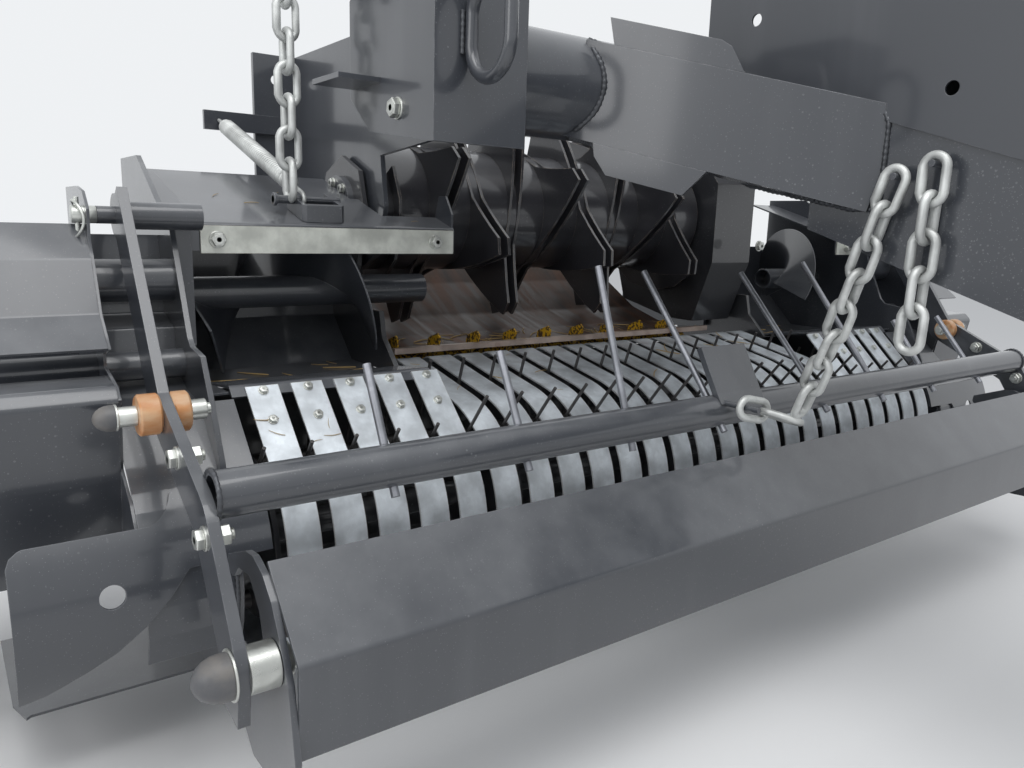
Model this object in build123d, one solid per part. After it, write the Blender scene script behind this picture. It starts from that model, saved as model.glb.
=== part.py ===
"""Front intake unit of a round baler: pickup, feed rotor and drawbar, in millimetres.

Every piece is drawn about the reel's axis: X runs across the machine, Y towards its rear, Z up.
On export each piece moves, so that the origin is the centre of the rear bolting flange.
"""
import math
import os

from build123d import *

os.makedirs("parts", exist_ok=True)

# Flange that bolts to the baler's chassis
FLANGE_Y = 640.0
FLANGE_Z = 555.0
FLANGE_T = 12.0
FLANGE_HOLE_X = 590.0
FLANGE_HOLE_DZ = 250.0
FLANGE_HOLE_R = 10.5

# Guide bands round the reel
BAND_PITCH = 72.0
BAND_COUNT = 25
BAND_WIDTH = 52.0
BAND_R = 200.0
BAND_T = 3.0
BAND_END_Y = 240.0
SIDE_BANDS = 5
CENTRE_TANGENT = 101.0
SIDE_TANGENT = 133.5
SIDE_BAND_RUN = 150.0
CENTRE_KINK = (165.0, 234.3)
CENTRE_TAIL = (232.0, 203.0)

# Tined reel
REEL_BAR_R = 115.0
REEL_BAR_D = 30.0
REEL_SHAFT_D = 45.0
REEL_DISC_R = 135.0
REEL_DISC_T = 8.0
REEL_HALF = BAND_COUNT * BAND_PITCH / 2 + 2
REEL_DISC_X = (20 - REEL_HALF, -6 * BAND_PITCH, 0.0, 6 * BAND_PITCH, REEL_HALF - 20)
TINE_D = 6.0
TINE_TIP_R = 285.0
SIDE_TINE_TIP_R = 228.0

# Rotor behind the reel, and the pickup's pivot
ROTOR_Y = 340.0
ROTOR_Z = 530.0
ROTOR_R = 130.0
ROTOR_TIP_R = 255.0
ROTOR_LEFT = -524.0
ROTOR_RIGHT = 374.0
ROTOR_SHAFT_D = 60.0
DRUM_WALL = 10.0
SCROLL_R = 156.0
RIGHT_SCROLL_R = 196.0
SCROLL_BITE = 6.0
STAR_T = 6.0
STAR_GAP = 18.0
STAR_ARMS = 3
KNIFE_PITCH = 98.0
KNIFE_FIRST = -513.0
KNIFE_COUNT = 9
KNIFE_T = 4.0

# Throat
CHEEK_IN = 535.0
CHEEK_T = 10.0
CASE_LEFT = 386.0
FLOOR_T = 6.0
FLOOR_FRONT_Y = 172.0
FLOOR_GAP = 0.3
FLOOR_LEFT = -CHEEK_IN + FLOOR_GAP
FLOOR_RIGHT = CASE_LEFT - FLOOR_GAP
FLOOR_BAR = 12.0
BOSS_R = 60.0
BOSS_END = 575.0
RUN_FIT = 0.05

# Pickup structure
SIDE_IN = REEL_HALF + 10
SIDE_T = 8.0
ARM_IN = 552.0
ARM_T = 10.0
SHEET_T = 4.0
BACK_T = 5.0
BACK_Y = 306.0
AUGER_Y = 235.0
AUGER_Z = 368.0
AUGER_D = 58.0
AUGER_FLIGHT_R = 145.0
AUGER_PITCH = 300.0
FLIGHT_T = 4.0
AUGER_SHAFT_D = 35.0
COVER_Y = 100.0
COVER_Z = 490.0
COVER_STRIP_H = 42.0
COVER_LEFT_END = 440.0
COVER_RIGHT_END = SIDE_IN - 76
COVER_NOSE_Y = 164.0
COVER_REAR = (399.0, 582.0)
EYE_X = -743.0
EYE_Y = 150.0
EYE_Z = 530.0
EYE_GAP = 24.0
EYE_T = 10.0
EYE_BAR = 12.0

# Crop guard
GUARD_PIVOT_Y = 60.0
GUARD_PIVOT_Z = 500.0
GUARD_ARM_X = SIDE_IN + 114
GUARD_ARM_T = 14.0
GUARD_ARM_W = 62.0
GUARD_TUBE_Y = -327.0
GUARD_TUBE_Z = 189.0
GUARD_TUBE_D = 57.0
GUARD_TUBE_WALL = 5.0
ROD_D = 12.0
DEFLECTOR_PIN_Y = -427.0
DEFLECTOR_PIN_Z = 18.0
PIN_D = 25.0
DEFLECTOR_HALF = GUARD_ARM_X - 34
DEFLECTOR_T = 5.0
DEFLECTOR_FLANGE_T = 8.0
RUN_GAP = 0.3
BUSH_CENTRE = (-153.0, 251.0)
BUSH_D = 46.0
BUSH_BOLT_D = 16.0
GUARD_ARM_PATH = [(58, 522), (-130, 252), (-325, 160), (-418, 20), (-410, -36)]

# Gauge wheels
STUB_Y = 188.0
STUB_Z = 250.0
STUB_D = 65.0
STUB_END = 1290.0
WHEEL_X = STUB_END + 76
WHEEL_Y = 300.0
WHEEL_Z = -120.0
WHEEL_R = 200.0
RIM_R = 102.0

# Outer covers
SIDE_COVER_Y = 260.0
SIDE_COVER_REAR = 520.0
SIDE_COVER_Z = 435.0
SIDE_COVER_OUT = 1240.0
SIDE_COVER_W = 210.0

# Drawbar
DRAW_TUBE_Y = -110.0
DRAW_TUBE_Z = 735.0
DRAW_TUBE_D = 170.0
DRAW_TUBE_HALF = 662.0
BRACKET_Y = -213.0
BRACKET_LOW = 617.0
BRACKET_HIGH = 900.0
DRAW_SLOPE = 0.33
LEG_SIZE = 155.0
LEG_ROOT_X = 300.0
LEG_NOSE_X = 35.0
LEG_NOSE_Y = -518.0
BEAM_W = 200.0
BEAM_H = 227.0
BEAM_MID_Y = -720.0
BEAM_MID_Z = 532.0
BEAM_REAR_Y = -440.0
BEAM_FRONT_Y = -1480.0
HITCH_Y = -1640.0
HITCH_HOLE_R = 25.5
HITCH_T = 40.0
HOOD_WALL = 4.0
HOOD_HALF = BEAM_W / 2 + HOOD_WALL
HOOD_H = 160.0
HOOD_SKIRT = 30.0
CHAIN_PEGS = [(-595.0, 588.0), (-648.0, 604.0)]
PEG_LENGTH = 36.0
PEG_D = 10.0

# Chain
LINK_WIRE = 13.0
LINK_LENGTH = 79.0
LINK_WIDTH = 46.0
LINK_PITCH = 52.4
LINK_SEAT = 1.2
LEVER_D = 18.0
GUARD_CHAIN_LINKS = 10
TAIL_CHAIN_LINKS = 5
LIFT_CHAIN_LINKS = 7
GUARD_CHAIN_ROUTE = [(-124, -595, 593), (-124, -580, 545), (-122, -552, 450), (-104, -505, 325),
                     (-86, -458, 222), (-96, -424, 192), (-118, -396, 200), (-150, -392, 207)]
TAIL_CHAIN_ROUTE = [(-124, -648, 609), (-124, -648, 560), (-124, -642, 300)]
SPRING_D = 34.0
SPRING_WIRE = 8.0
SPRING_ANCHOR_Z = 705.0
ANCHOR_T = 10.0


def polar(radius, angle, centre=(0.0, 0.0)):
    """Return the (y, z) point at a radius and an angle in degrees from the Y axis."""
    turn = math.radians(angle)
    return (centre[0] + radius * math.cos(turn), centre[1] + radius * math.sin(turn))


def slab(points, x_low, width):
    """Extrude a closed (y, z) outline along X."""
    outline = Plane.YZ.offset(x_low) * make_face(Polyline(*points, close=True))
    return extrude(outline, amount=width)


def sheet(points, bend, thickness, x_low, width):
    """Extrude a bent sheet along X, from its middle line in (y, z) and its bend radius."""
    middle = FilletPolyline(*points, radius=bend)
    section = Plane.YZ.offset(x_low) * trace(middle, line_width=thickness)
    return extrude(section, amount=width)


def bar(x_low, length, diameter, centre):
    """Return a round bar along X, its axis at the (y, z) centre."""
    disc = Plane.YZ.offset(x_low) * Pos(*centre) * Circle(diameter / 2)
    return extrude(disc, amount=length)


def rod(start, end, diameter):
    """Return a round rod from one (x, y, z) point to another."""
    base = Vector(*start)
    run = Vector(*end) - base
    return extrude(Plane(origin=base, z_dir=run) * Circle(diameter / 2), amount=run.length)


def facets(points, faces):
    """Return a solid from corner points and faces, each face a list of corner numbers."""
    sides = []
    for face in faces:
        corners = [Vector(*points[index]) for index in face]
        sides.append(Face(Wire.make_polygon(corners, close=True)))
    return Solid(Shell(sides))


def mirrored(shape):
    """Return the same shape on the other side of the machine."""
    return mirror(shape, Plane.YZ)


def save(node, shape):
    """Move a piece so that the flange's centre is the origin, and write it."""
    solids = shape.solids()
    moved = Compound(children=[Pos(0, -FLANGE_Y, -FLANGE_Z) * solid for solid in solids])
    export_step(moved, f"parts/{node}.step")


def save_pair(name, left):
    """Write a left-hand piece and its mirror image as two nodes."""
    save(name + "_left", left)
    save(name + "_right", mirrored(left))


def save_twins(name, left):
    """Write a left-hand piece and its mirror image as one node."""
    save(name, Compound(children=left.solids() + mirrored(left).solids()))


def band_x(number):
    """Return the middle of a guide band, counted from 1 at the left."""
    return (number - (BAND_COUNT + 1) / 2) * BAND_PITCH


def tangent_corner(radius, angle):
    """Return the corner where the front line and the tangent at an angle meet."""
    half = (180.0 - angle) / 2
    return polar(radius / math.cos(math.radians(half)), 180.0 - half)


def tangent_point(radius, angle, run):
    """Return the point on a tangent to the band circle, some way past where it touches."""
    start = polar(radius, angle)
    turn = math.radians(angle)
    return (start[0] + run * math.sin(turn), start[1] - run * math.cos(turn))


BAND_MID_R = BAND_R - BAND_T / 2


def band(number, path, bends):
    """Return one guide band, bent along a (y, z) path."""
    middle = FilletPolyline(*path, radius=bends)
    x_low = band_x(number) - BAND_WIDTH / 2
    section = Plane.YZ.offset(x_low) * trace(middle, line_width=BAND_T)
    return extrude(section, amount=BAND_WIDTH)


def make_bands():
    """Write the guide bands: straight-backed ones in the throat, raised ones beside it."""
    foot = [(BAND_END_Y, -BAND_MID_R), (-BAND_MID_R, -BAND_MID_R)]
    centre_path = foot + [tangent_corner(BAND_MID_R, CENTRE_TANGENT), CENTRE_KINK, CENTRE_TAIL]
    side_path = foot + [
        tangent_corner(BAND_MID_R, SIDE_TANGENT),
        tangent_point(BAND_MID_R, SIDE_TANGENT, SIDE_BAND_RUN),
    ]
    centre_bends = [BAND_MID_R, BAND_MID_R, 25]
    side_bends = [BAND_MID_R, BAND_MID_R]
    left, centre, right = [], [], []
    for number in range(1, BAND_COUNT + 1):
        if number <= SIDE_BANDS:
            left.append(band(number, side_path, side_bends))
        elif number > BAND_COUNT - SIDE_BANDS:
            right.append(band(number, side_path, side_bends))
        else:
            centre.append(band(number, centre_path, centre_bends))
    save("bands_left", Compound(children=left))
    save("bands_centre", Compound(children=centre))
    save("bands_right", Compound(children=right))


# Rows of tines: angle of the bar, and how far the tine leans back from the radius, in degrees
TINE_ROWS = [
    (127.6, 0.0),
    (55.6, 53.0),
    (-16.4, 75.0),
    (-88.4, 30.0),
    (-160.4, 0.0),
]


def tine_tip(bar_angle, lean, tip_radius):
    """Return a tine's tip, where its leaning line crosses the tip circle or its own length."""
    base = polar(REEL_BAR_R, bar_angle)
    length = tip_radius - REEL_BAR_R
    turn = math.radians(bar_angle + lean)
    return (base[0] + length * math.cos(turn), base[1] + length * math.sin(turn))


def make_reel():
    """Write the reel: its shaft and discs, and its five tine bars with their tines."""
    core = bar(-REEL_HALF, 2 * REEL_HALF, REEL_SHAFT_D, (0, 0))
    ends = bar(-SIDE_IN - SIDE_T, 2 * (SIDE_IN + SIDE_T), 35, (0, 0))
    core = core + ends
    for x in REEL_DISC_X:
        core = core + bar(x - REEL_DISC_T / 2, REEL_DISC_T, 2 * REEL_DISC_R, (0, 0))
    bars = []
    for angle, lean in TINE_ROWS:
        centre = polar(REEL_BAR_R, angle)
        core = core - bar(-REEL_HALF, 2 * REEL_HALF, REEL_BAR_D, centre)
        tines = []
        for gap in range(BAND_COUNT + 1):
            x = band_x(gap + 0.5)
            beside_throat = gap < SIDE_BANDS or gap > BAND_COUNT - SIDE_BANDS
            tip_radius = SIDE_TINE_TIP_R if beside_throat else TINE_TIP_R
            tip = tine_tip(angle, lean, tip_radius)
            tines.append(rod((x, *centre), (x, *tip), TINE_D))
        bars.append(bar(-REEL_HALF, 2 * REEL_HALF, REEL_BAR_D, centre) + tines)
    save("reel_core", core)
    save("tine_bars", Compound(children=[piece.solid() for piece in bars]))


def rotor_star(x_low, phase):
    """Return one star plate of the rotor, with curved arms swept up from the drum."""
    centre = (ROTOR_Y, ROTOR_Z)
    root = ROTOR_R - 2
    step = 360.0 / STAR_ARMS
    edges = []
    for arm in range(STAR_ARMS):
        start = phase - arm * step
        foot = polar(root + 10, start, centre)
        swell = polar(root + 24, start - 0.45 * step, centre)
        tip = polar(ROTOR_TIP_R, start - 0.74 * step, centre)
        heel = polar(ROTOR_TIP_R - 14, start - 0.80 * step, centre)
        after = polar(root + 40, start - 0.90 * step, centre)
        last = polar(root + 10, start - step, centre)
        edges.append(ThreePointArc(foot, swell, tip))
        edges.append(Line(tip, heel))
        edges.append(ThreePointArc(heel, after, last))
    outline = make_face(Curve() + edges)
    outline = outline - Pos(*centre) * Circle(ROTOR_R)
    return extrude(Plane.YZ.offset(x_low) * outline, amount=STAR_T)


def helix_flight(x_low, x_high, turns, radius, core, thickness, phase, centre, hand):
    """Return a screw flight as flat facets, from angle steps along its turns."""
    steps = max(8, int(turns * 16))
    points = []
    for index in range(steps + 1):
        share = index / steps
        angle = phase + hand * 360.0 * turns * share
        middle = x_low + thickness + (x_high - x_low - 2 * thickness) * share
        for x in (middle - thickness / 2, middle + thickness / 2):
            for r in (core, radius):
                points.append((x, *polar(r, angle, centre)))
    faces = [[0, 1, 3, 2]]
    for index in range(steps):
        a = 4 * index
        b = a + 4
        for p, q in ((0, 1), (1, 3), (3, 2), (2, 0)):
            faces.append([a + p, b + p, b + q])
            faces.append([a + p, b + q, a + q])
    end = 4 * steps
    faces.append([end, end + 2, end + 3, end + 1])
    return facets(points, faces)


def make_rotor():
    """Write the rotor's drum, its two scrolls and its paired star plates."""
    centre = (ROTOR_Y, ROTOR_Z)
    length = ROTOR_RIGHT - ROTOR_LEFT
    drum = bar(ROTOR_LEFT, length, 2 * ROTOR_R, centre)
    drum = drum - bar(ROTOR_LEFT + DRUM_WALL, length - 2 * DRUM_WALL, 2 * (ROTOR_R - DRUM_WALL), centre)
    drum = drum + bar(-BOSS_END, 2 * BOSS_END, ROTOR_SHAFT_D, centre)
    stars = []
    for index in range(1, KNIFE_COUNT):
        middle = KNIFE_FIRST + index * KNIFE_PITCH
        phase = 205.0 + 42.0 * index
        for side in (-1, 1):
            x_low = middle + side * STAR_GAP / 2 + (0 if side > 0 else -STAR_T)
            stars.append(rotor_star(x_low, phase))
    save("rotor_stars", Compound(children=stars))
    save("rotor_drum", drum)
    root = ROTOR_R - SCROLL_BITE
    left = helix_flight(ROTOR_LEFT + 4, ROTOR_LEFT + 74, 0.8, SCROLL_R, root, STAR_T, 150, centre, 1)
    right = helix_flight(ROTOR_RIGHT - 62, ROTOR_RIGHT - 4, 0.8, RIGHT_SCROLL_R, root, STAR_T, 150,
                         centre, -1)
    scrolls = [(flight - drum).solids().sort_by(SortBy.VOLUME)[-1] for flight in (left, right)]
    save("rotor_scrolls", Compound(children=scrolls))


def make_augers():
    """Write the two side augers, each a tube with a flight and a shaft through the side plate."""
    centre = (AUGER_Y, AUGER_Z)
    # Side, tube's free end, flight's free end
    table = [("left", -436.0, -BOSS_END - 7, 1), ("right", 700.0, 715.0, -1)]
    for name, tube_end, flight_end, hand in table:
        side = -1 if name == "left" else 1
        root = side * (SIDE_IN - 7)
        shaft_end = side * (SIDE_IN + SIDE_T + 60)
        low, high = min(root, tube_end), max(root, tube_end)
        tube = bar(low, high - low, AUGER_D, centre)
        tube = tube - bar(tube_end - 40, 80, AUGER_D - 10, centre)
        low, high = min(root, shaft_end), max(root, shaft_end)
        tube = tube + bar(low, high - low, AUGER_SHAFT_D, centre)
        low, high = min(root, flight_end), max(root, flight_end)
        turns = abs(high - low) / AUGER_PITCH
        flight = helix_flight(low, high, turns, AUGER_FLIGHT_R, AUGER_D / 2 - 2, FLIGHT_T, 200,
                              centre, hand)
        save(f"auger_{name}", tube + flight)


def make_throat():
    """Write the two cheeks, the drive case, the floor with its slots, the bar and the knives."""
    centre = (ROTOR_Y, ROTOR_Z)
    outline = [
        (FLANGE_Y - FLANGE_T, 252), (FLANGE_Y - FLANGE_T, 858), (BRACKET_Y + 8, 858),
        (BRACKET_Y + 8, 643), (-10, 643), (200, 625), (185, 530), (212, 440), (300, 400),
        (300, 232), (430, 218),
    ]
    cheek = slab(outline, -CHEEK_IN - CHEEK_T, CHEEK_T)
    flange = Pos(-CHEEK_IN - 52.5, FLANGE_Y - FLANGE_T / 2, FLANGE_Z) * Box(105, FLANGE_T, 606)
    for sign in (-1, 1):
        hole = Pos(-FLANGE_HOLE_X, FLANGE_Y, FLANGE_Z + sign * FLANGE_HOLE_DZ)
        flange = flange - hole * Rot(90, 0, 0) * Cylinder(FLANGE_HOLE_R, 60)
    boss = bar(-BOSS_END, BOSS_END - CHEEK_IN - CHEEK_T, 2 * BOSS_R, centre)
    tube_seat = bar(-CHEEK_IN - CHEEK_T, CHEEK_T, DRAW_TUBE_D, (DRAW_TUBE_Y, DRAW_TUBE_Z))
    cheek = cheek + flange + boss - tube_seat
    cheek = cheek - bar(-BOSS_END - 1, 60, ROTOR_SHAFT_D + 2 * RUN_FIT, centre)
    save_pair("cheek", cheek)

    case_outline = [(215, 262), (300, 262), (480, 300), (520, 420), (520, 640), (450, 700),
                    (230, 700), (160, 620), (160, 420)]
    inner = [(225, 272), (300, 272), (472, 308), (510, 424), (510, 636), (446, 690), (234, 690),
             (170, 616), (170, 424)]
    case = slab(case_outline, CASE_LEFT, CHEEK_IN - CASE_LEFT)
    case = case - slab(inner, CASE_LEFT + 8, CHEEK_IN - CASE_LEFT - 16)
    collar = bar(CASE_LEFT, CHEEK_IN - CASE_LEFT, ROTOR_SHAFT_D + 24, centre)
    case = case + collar
    case = case - bar(CASE_LEFT - 1, 160, ROTOR_SHAFT_D + 2 * RUN_FIT, centre)
    save("drive_case", case)

    floor_path = [(FLOOR_FRONT_Y, 249), (255, 236), (340, 248), (440, 276), (560, 345),
                  (FLANGE_Y - FLANGE_T - 2, 400)]
    floor = sheet(floor_path, 60, FLOOR_T, FLOOR_LEFT, FLOOR_RIGHT - FLOOR_LEFT)
    knives = []
    for index in range(KNIFE_COUNT):
        x = KNIFE_FIRST + index * KNIFE_PITCH
        slot = Pos(x, 210, 245) * Box(KNIFE_T + 8, 62, 60)
        floor = floor - slot
        blade = slab([(186, 268), (196, 276), (232, 262), (244, 226), (226, 218), (190, 244)],
                     x - KNIFE_T / 2, KNIFE_T)
        knives.append(blade)
    save("knife_floor", floor)
    shaft = bar(FLOOR_LEFT, FLOOR_RIGHT - FLOOR_LEFT, 16, (246, 220))
    knife_set = shaft
    for blade in knives:
        knife_set = knife_set + blade
    save("knives", knife_set)
    bar_y = FLOOR_FRONT_Y - 0.5 - FLOOR_GAP - FLOOR_BAR / 2
    save("floor_bar", Pos((FLOOR_LEFT + FLOOR_RIGHT) / 2, bar_y, 250)
         * Box(FLOOR_RIGHT - FLOOR_LEFT, FLOOR_BAR, FLOOR_BAR))
    beam = Pos(0, FLANGE_Y - FLANGE_T - 60, 790)
    box = Box(2 * CHEEK_IN, 100, 100) - Box(2 * CHEEK_IN + 2, 88, 88)
    save("rear_beam", beam * box)


def make_pickup():
    """Write the pickup's back, side plates, arms, troughs and auger covers."""
    tail = Vector(CENTRE_TAIL[0] - CENTRE_KINK[0], CENTRE_TAIL[1] - CENTRE_KINK[1]).normalized()
    under = Vector(tail.Y, -tail.X) * ((BAND_T + BACK_T) / 2)
    lip_end = (CENTRE_TAIL[0] + under.X - 30 * tail.X, CENTRE_TAIL[1] + under.Y - 30 * tail.Y)
    lip_bend = (CENTRE_TAIL[0] + under.X + 12 * tail.X, CENTRE_TAIL[1] + under.Y + 12 * tail.Y)
    foot_z = -BAND_R + BAND_T + BACK_T / 2
    back_path = [lip_end, lip_bend, (BACK_Y, 184), (BACK_Y, foot_z), (BAND_END_Y - 5, foot_z)]
    back = sheet(back_path, 12, BACK_T, -SIDE_IN, 2 * SIDE_IN)
    for side in (-1, 1):
        edge = side * (ARM_IN + (SIDE_IN - ARM_IN) / 2 + 0.5)
        back = back - Pos(edge, 240, 215) * Box(SIDE_IN - ARM_IN + 1, 124, 50)
    save("pickup_back", back)
    beam = slab([(BACK_Y + BACK_T / 2, -70), (BACK_Y + 82.5, -70), (BACK_Y + 82.5, 10),
                 (BACK_Y + BACK_T / 2, 10)], -SIDE_IN, 2 * SIDE_IN)
    hollow = slab([(BACK_Y + 9, -63), (BACK_Y + 76, -63), (BACK_Y + 76, 3), (BACK_Y + 9, 3)],
                  -SIDE_IN - 1, 2 * SIDE_IN + 2)
    save("pickup_beam", beam - hollow)

    front = [polar(BAND_R + 8, angle) for angle in (260, 240, 220, 200, 180, 160, 140)]
    side_outline = [(420, -90), (340, -212), (0, -212)] + front + [
        (-27, 258), (4, 330), (18, 470), (30, 535), (290, 600), (420, 600)]
    side = slab(side_outline, -SIDE_IN - SIDE_T, SIDE_T)
    side = side - bar(-SIDE_IN - SIDE_T - 1, SIDE_T + 2, 35 + 2 * RUN_FIT, (0, 0))
    side = side - bar(-SIDE_IN - SIDE_T - 1, SIDE_T + 2, AUGER_SHAFT_D + 2 * RUN_FIT,
                      (AUGER_Y, AUGER_Z))
    save_twins("side_plates", side)

    arm_outline = [(104, 226), (160, 280), (172, 330), (285, 330), (262, 455), (240, 530),
                   (262, 598), (340, 630), (418, 598), (440, 530), (425, 300), (388.5, 10),
                   (BACK_Y + BACK_T / 2, 10), (BACK_Y + BACK_T / 2, 192), (238, 212)]
    arm = slab(arm_outline, -ARM_IN - ARM_T, ARM_T)
    arm = arm - bar(-ARM_IN - ARM_T - 1, ARM_T + 2, 2 * BOSS_R + 2 * RUN_FIT, (ROTOR_Y, ROTOR_Z))
    arm = arm - sheet(back_path, 12, BACK_T, -SIDE_IN, 2 * SIDE_IN)
    save_twins("pickup_arms", arm)

    end = tangent_point(BAND_MID_R, SIDE_TANGENT, SIDE_BAND_RUN)
    turn = math.radians(SIDE_TANGENT)
    along = (math.sin(turn), -math.cos(turn))
    inward = (along[1], -along[0])
    drop = (BAND_T + SHEET_T) / 2
    lip_start = (end[0] - 15 * along[0] + drop * inward[0], end[1] - 15 * along[1] + drop * inward[1])
    lip_top = (end[0] + 6 * along[0] + drop * inward[0], end[1] + 6 * along[1] + drop * inward[1])
    trough_path = [lip_start, lip_top, (90, 234), (165, 214), (300, 214), (392, 300), (392, 455)]
    trough = sheet(trough_path, 8, SHEET_T, -SIDE_IN, SIDE_IN - ARM_IN - ARM_T)
    save_twins("troughs", trough)

    cover_path = [(COVER_Y, COVER_Z - COVER_STRIP_H), (COVER_Y, COVER_Z), COVER_REAR]
    cover = sheet(cover_path, 6, SHEET_T, -SIDE_IN, SIDE_IN - ARM_IN - ARM_T)
    slope = (COVER_REAR[1] - COVER_Z) / (COVER_REAR[0] - COVER_Y)
    lip_path = [(COVER_Y, COVER_Z - COVER_STRIP_H), (COVER_Y, COVER_Z),
                (COVER_NOSE_Y, COVER_Z + slope * (COVER_NOSE_Y - COVER_Y))]
    nose = sheet(lip_path, 6, SHEET_T, -ARM_IN - ARM_T - 1, ARM_IN + ARM_T + 1 - COVER_LEFT_END)
    gusset = slab([(102, 490), (102, 518), (125, 552), (150, 552), (COVER_NOSE_Y, 509)],
                  -COVER_LEFT_END - SHEET_T, SHEET_T)
    notch = Pos(-BOSS_END + 5, 340, 540) * Box(16, 150, 200)
    cover = cover - notch
    save("auger_cover_left", cover + nose + gusset)
    short = sheet(cover_path, 6, SHEET_T, COVER_RIGHT_END, SIDE_IN - COVER_RIGHT_END)
    save("auger_cover_right", short)
    strip_y = COVER_Y - SHEET_T
    strips = []
    for low, high in ((-SIDE_IN, -COVER_LEFT_END - 4), (COVER_RIGHT_END + 2, SIDE_IN)):
        strips.append(Pos((low + high) / 2, strip_y, COVER_Z - 24) * Box(high - low, SHEET_T, 44))
    save("cover_strips", Compound(children=strips))

    eye = Box(62, EYE_T, 80) - Pos(0, 0, 40 - EYE_BAR - EYE_GAP / 2) * Box(38, 20, EYE_GAP)
    eye = Pos(EYE_X, EYE_Y, EYE_Z + EYE_BAR + EYE_GAP / 2 - 40) * eye
    ground = slab([(COVER_Y, COVER_Z - 80), (COVER_Y, COVER_Z + SHEET_T / 2),
                   (COVER_REAR[0], COVER_REAR[1] + SHEET_T / 2), (COVER_REAR[0], COVER_Z - 80)],
                  EYE_X - 60, 120)
    eye = (eye - ground - cover).solids().sort_by(Axis.Z)[-1]
    save("lift_eye", eye)


def make_side_guards():
    """Write the outer cover, the rolled guard and the gauge wheel's stub and arm."""
    plate = SIDE_IN + SIDE_T
    stub = bar(-STUB_END, STUB_END - plate, STUB_D, (STUB_Y, STUB_Z))
    wheel_arm = slab([(160, 285), (150, 225), (270, -145), (330, -145), (335, -95), (225, 275)],
                     -STUB_END - 12, 12)
    axle = bar(-WHEEL_X - 60, WHEEL_X + 60 - STUB_END - 12, 30, (WHEEL_Y, WHEEL_Z))
    save_twins("wheel_arms", stub + wheel_arm + axle)

    outer = slab([(SIDE_COVER_Y, -17), (SIDE_COVER_REAR, 60), (SIDE_COVER_REAR, SIDE_COVER_Z),
                  (SIDE_COVER_Y, SIDE_COVER_Z)], -SIDE_COVER_OUT, SIDE_COVER_W)
    room = Pos(-SIDE_COVER_OUT + SHEET_T, SIDE_COVER_Y + SHEET_T, SIDE_COVER_Z - SHEET_T)
    cover = outer - room * Box(400, 400, 800, align=(Align.MIN, Align.MIN, Align.MAX))
    tie = slab([(SIDE_COVER_Y + 1, 380), (300, 380), (300, SIDE_COVER_Z - 1),
                (SIDE_COVER_Y + 1, SIDE_COVER_Z - 1)],
               SIDE_COVER_W - SIDE_COVER_OUT - 20, SIDE_COVER_OUT - SIDE_COVER_W + 20 - plate)
    save_twins("side_covers", cover + tie)

    roll = []
    for angle in (118, 215):
        roll.append(polar(BAND_R - 2, angle))
    arc = ThreePointArc(roll[0], polar(BAND_R - 2, 166), roll[1])
    guard = extrude(Plane.YZ.offset(-1225) * trace(arc, line_width=SHEET_T), amount=1225 - plate)
    cut = Plane.XZ.offset(260) * make_face(Polyline((-1300, 60), (-1300, -160), (-960, -160),
                                                    close=True))
    guard = guard - extrude(cut, amount=-400)
    guard = guard - Pos(-1116, -195, 29) * Rot(0, 90, 0) * Rot(90, 0, 0) * Cylinder(15, 60)
    save_twins("rolled_guards", guard)


def make_wheels():
    """Write the two gauge wheels, each a tyre on a dished rim."""
    section = [(RIM_R, -40), (RIM_R + 30, -52), (WHEEL_R - 25, -55), (WHEEL_R - 6, -42),
               (WHEEL_R, -22), (WHEEL_R, 22), (WHEEL_R - 6, 42), (WHEEL_R - 25, 55),
               (RIM_R + 30, 52), (RIM_R, 40)]
    tyre = revolve(Plane.XZ * make_face(Polyline(*section, close=True)), Axis.Z)
    rim_section = [(RIM_R - 0.2, -40), (RIM_R - 0.2, 40), (RIM_R - 8, 40), (RIM_R - 8, 8),
                   (28, 8), (28, 30), (15.05, 30), (15.05, -30), (28, -30), (28, -2),
                   (RIM_R - 8, -2), (RIM_R - 8, -40)]
    rim = revolve(Plane.XZ * make_face(Polyline(*rim_section, close=True)), Axis.Z)
    place = Pos(-WHEEL_X, WHEEL_Y, WHEEL_Z) * Rot(0, 90, 0)
    save_pair("tyre", place * tyre)
    save_pair("wheel_rim", place * rim)


# Rods of the crop guard: place across the machine, and the tip's place
GUARD_RODS = [
    (-799.0, -262.0, 314.0),
    (-580.0, -262.0, 316.0),
    (-366.0, -235.0, 440.0),
    (-155.0, -132.0, 422.0),
    (155.0, -115.0, 415.0),
    (366.0, -120.0, 436.0),
    (580.0, -235.0, 306.0),
    (799.0, -228.0, 305.0),
]


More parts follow.
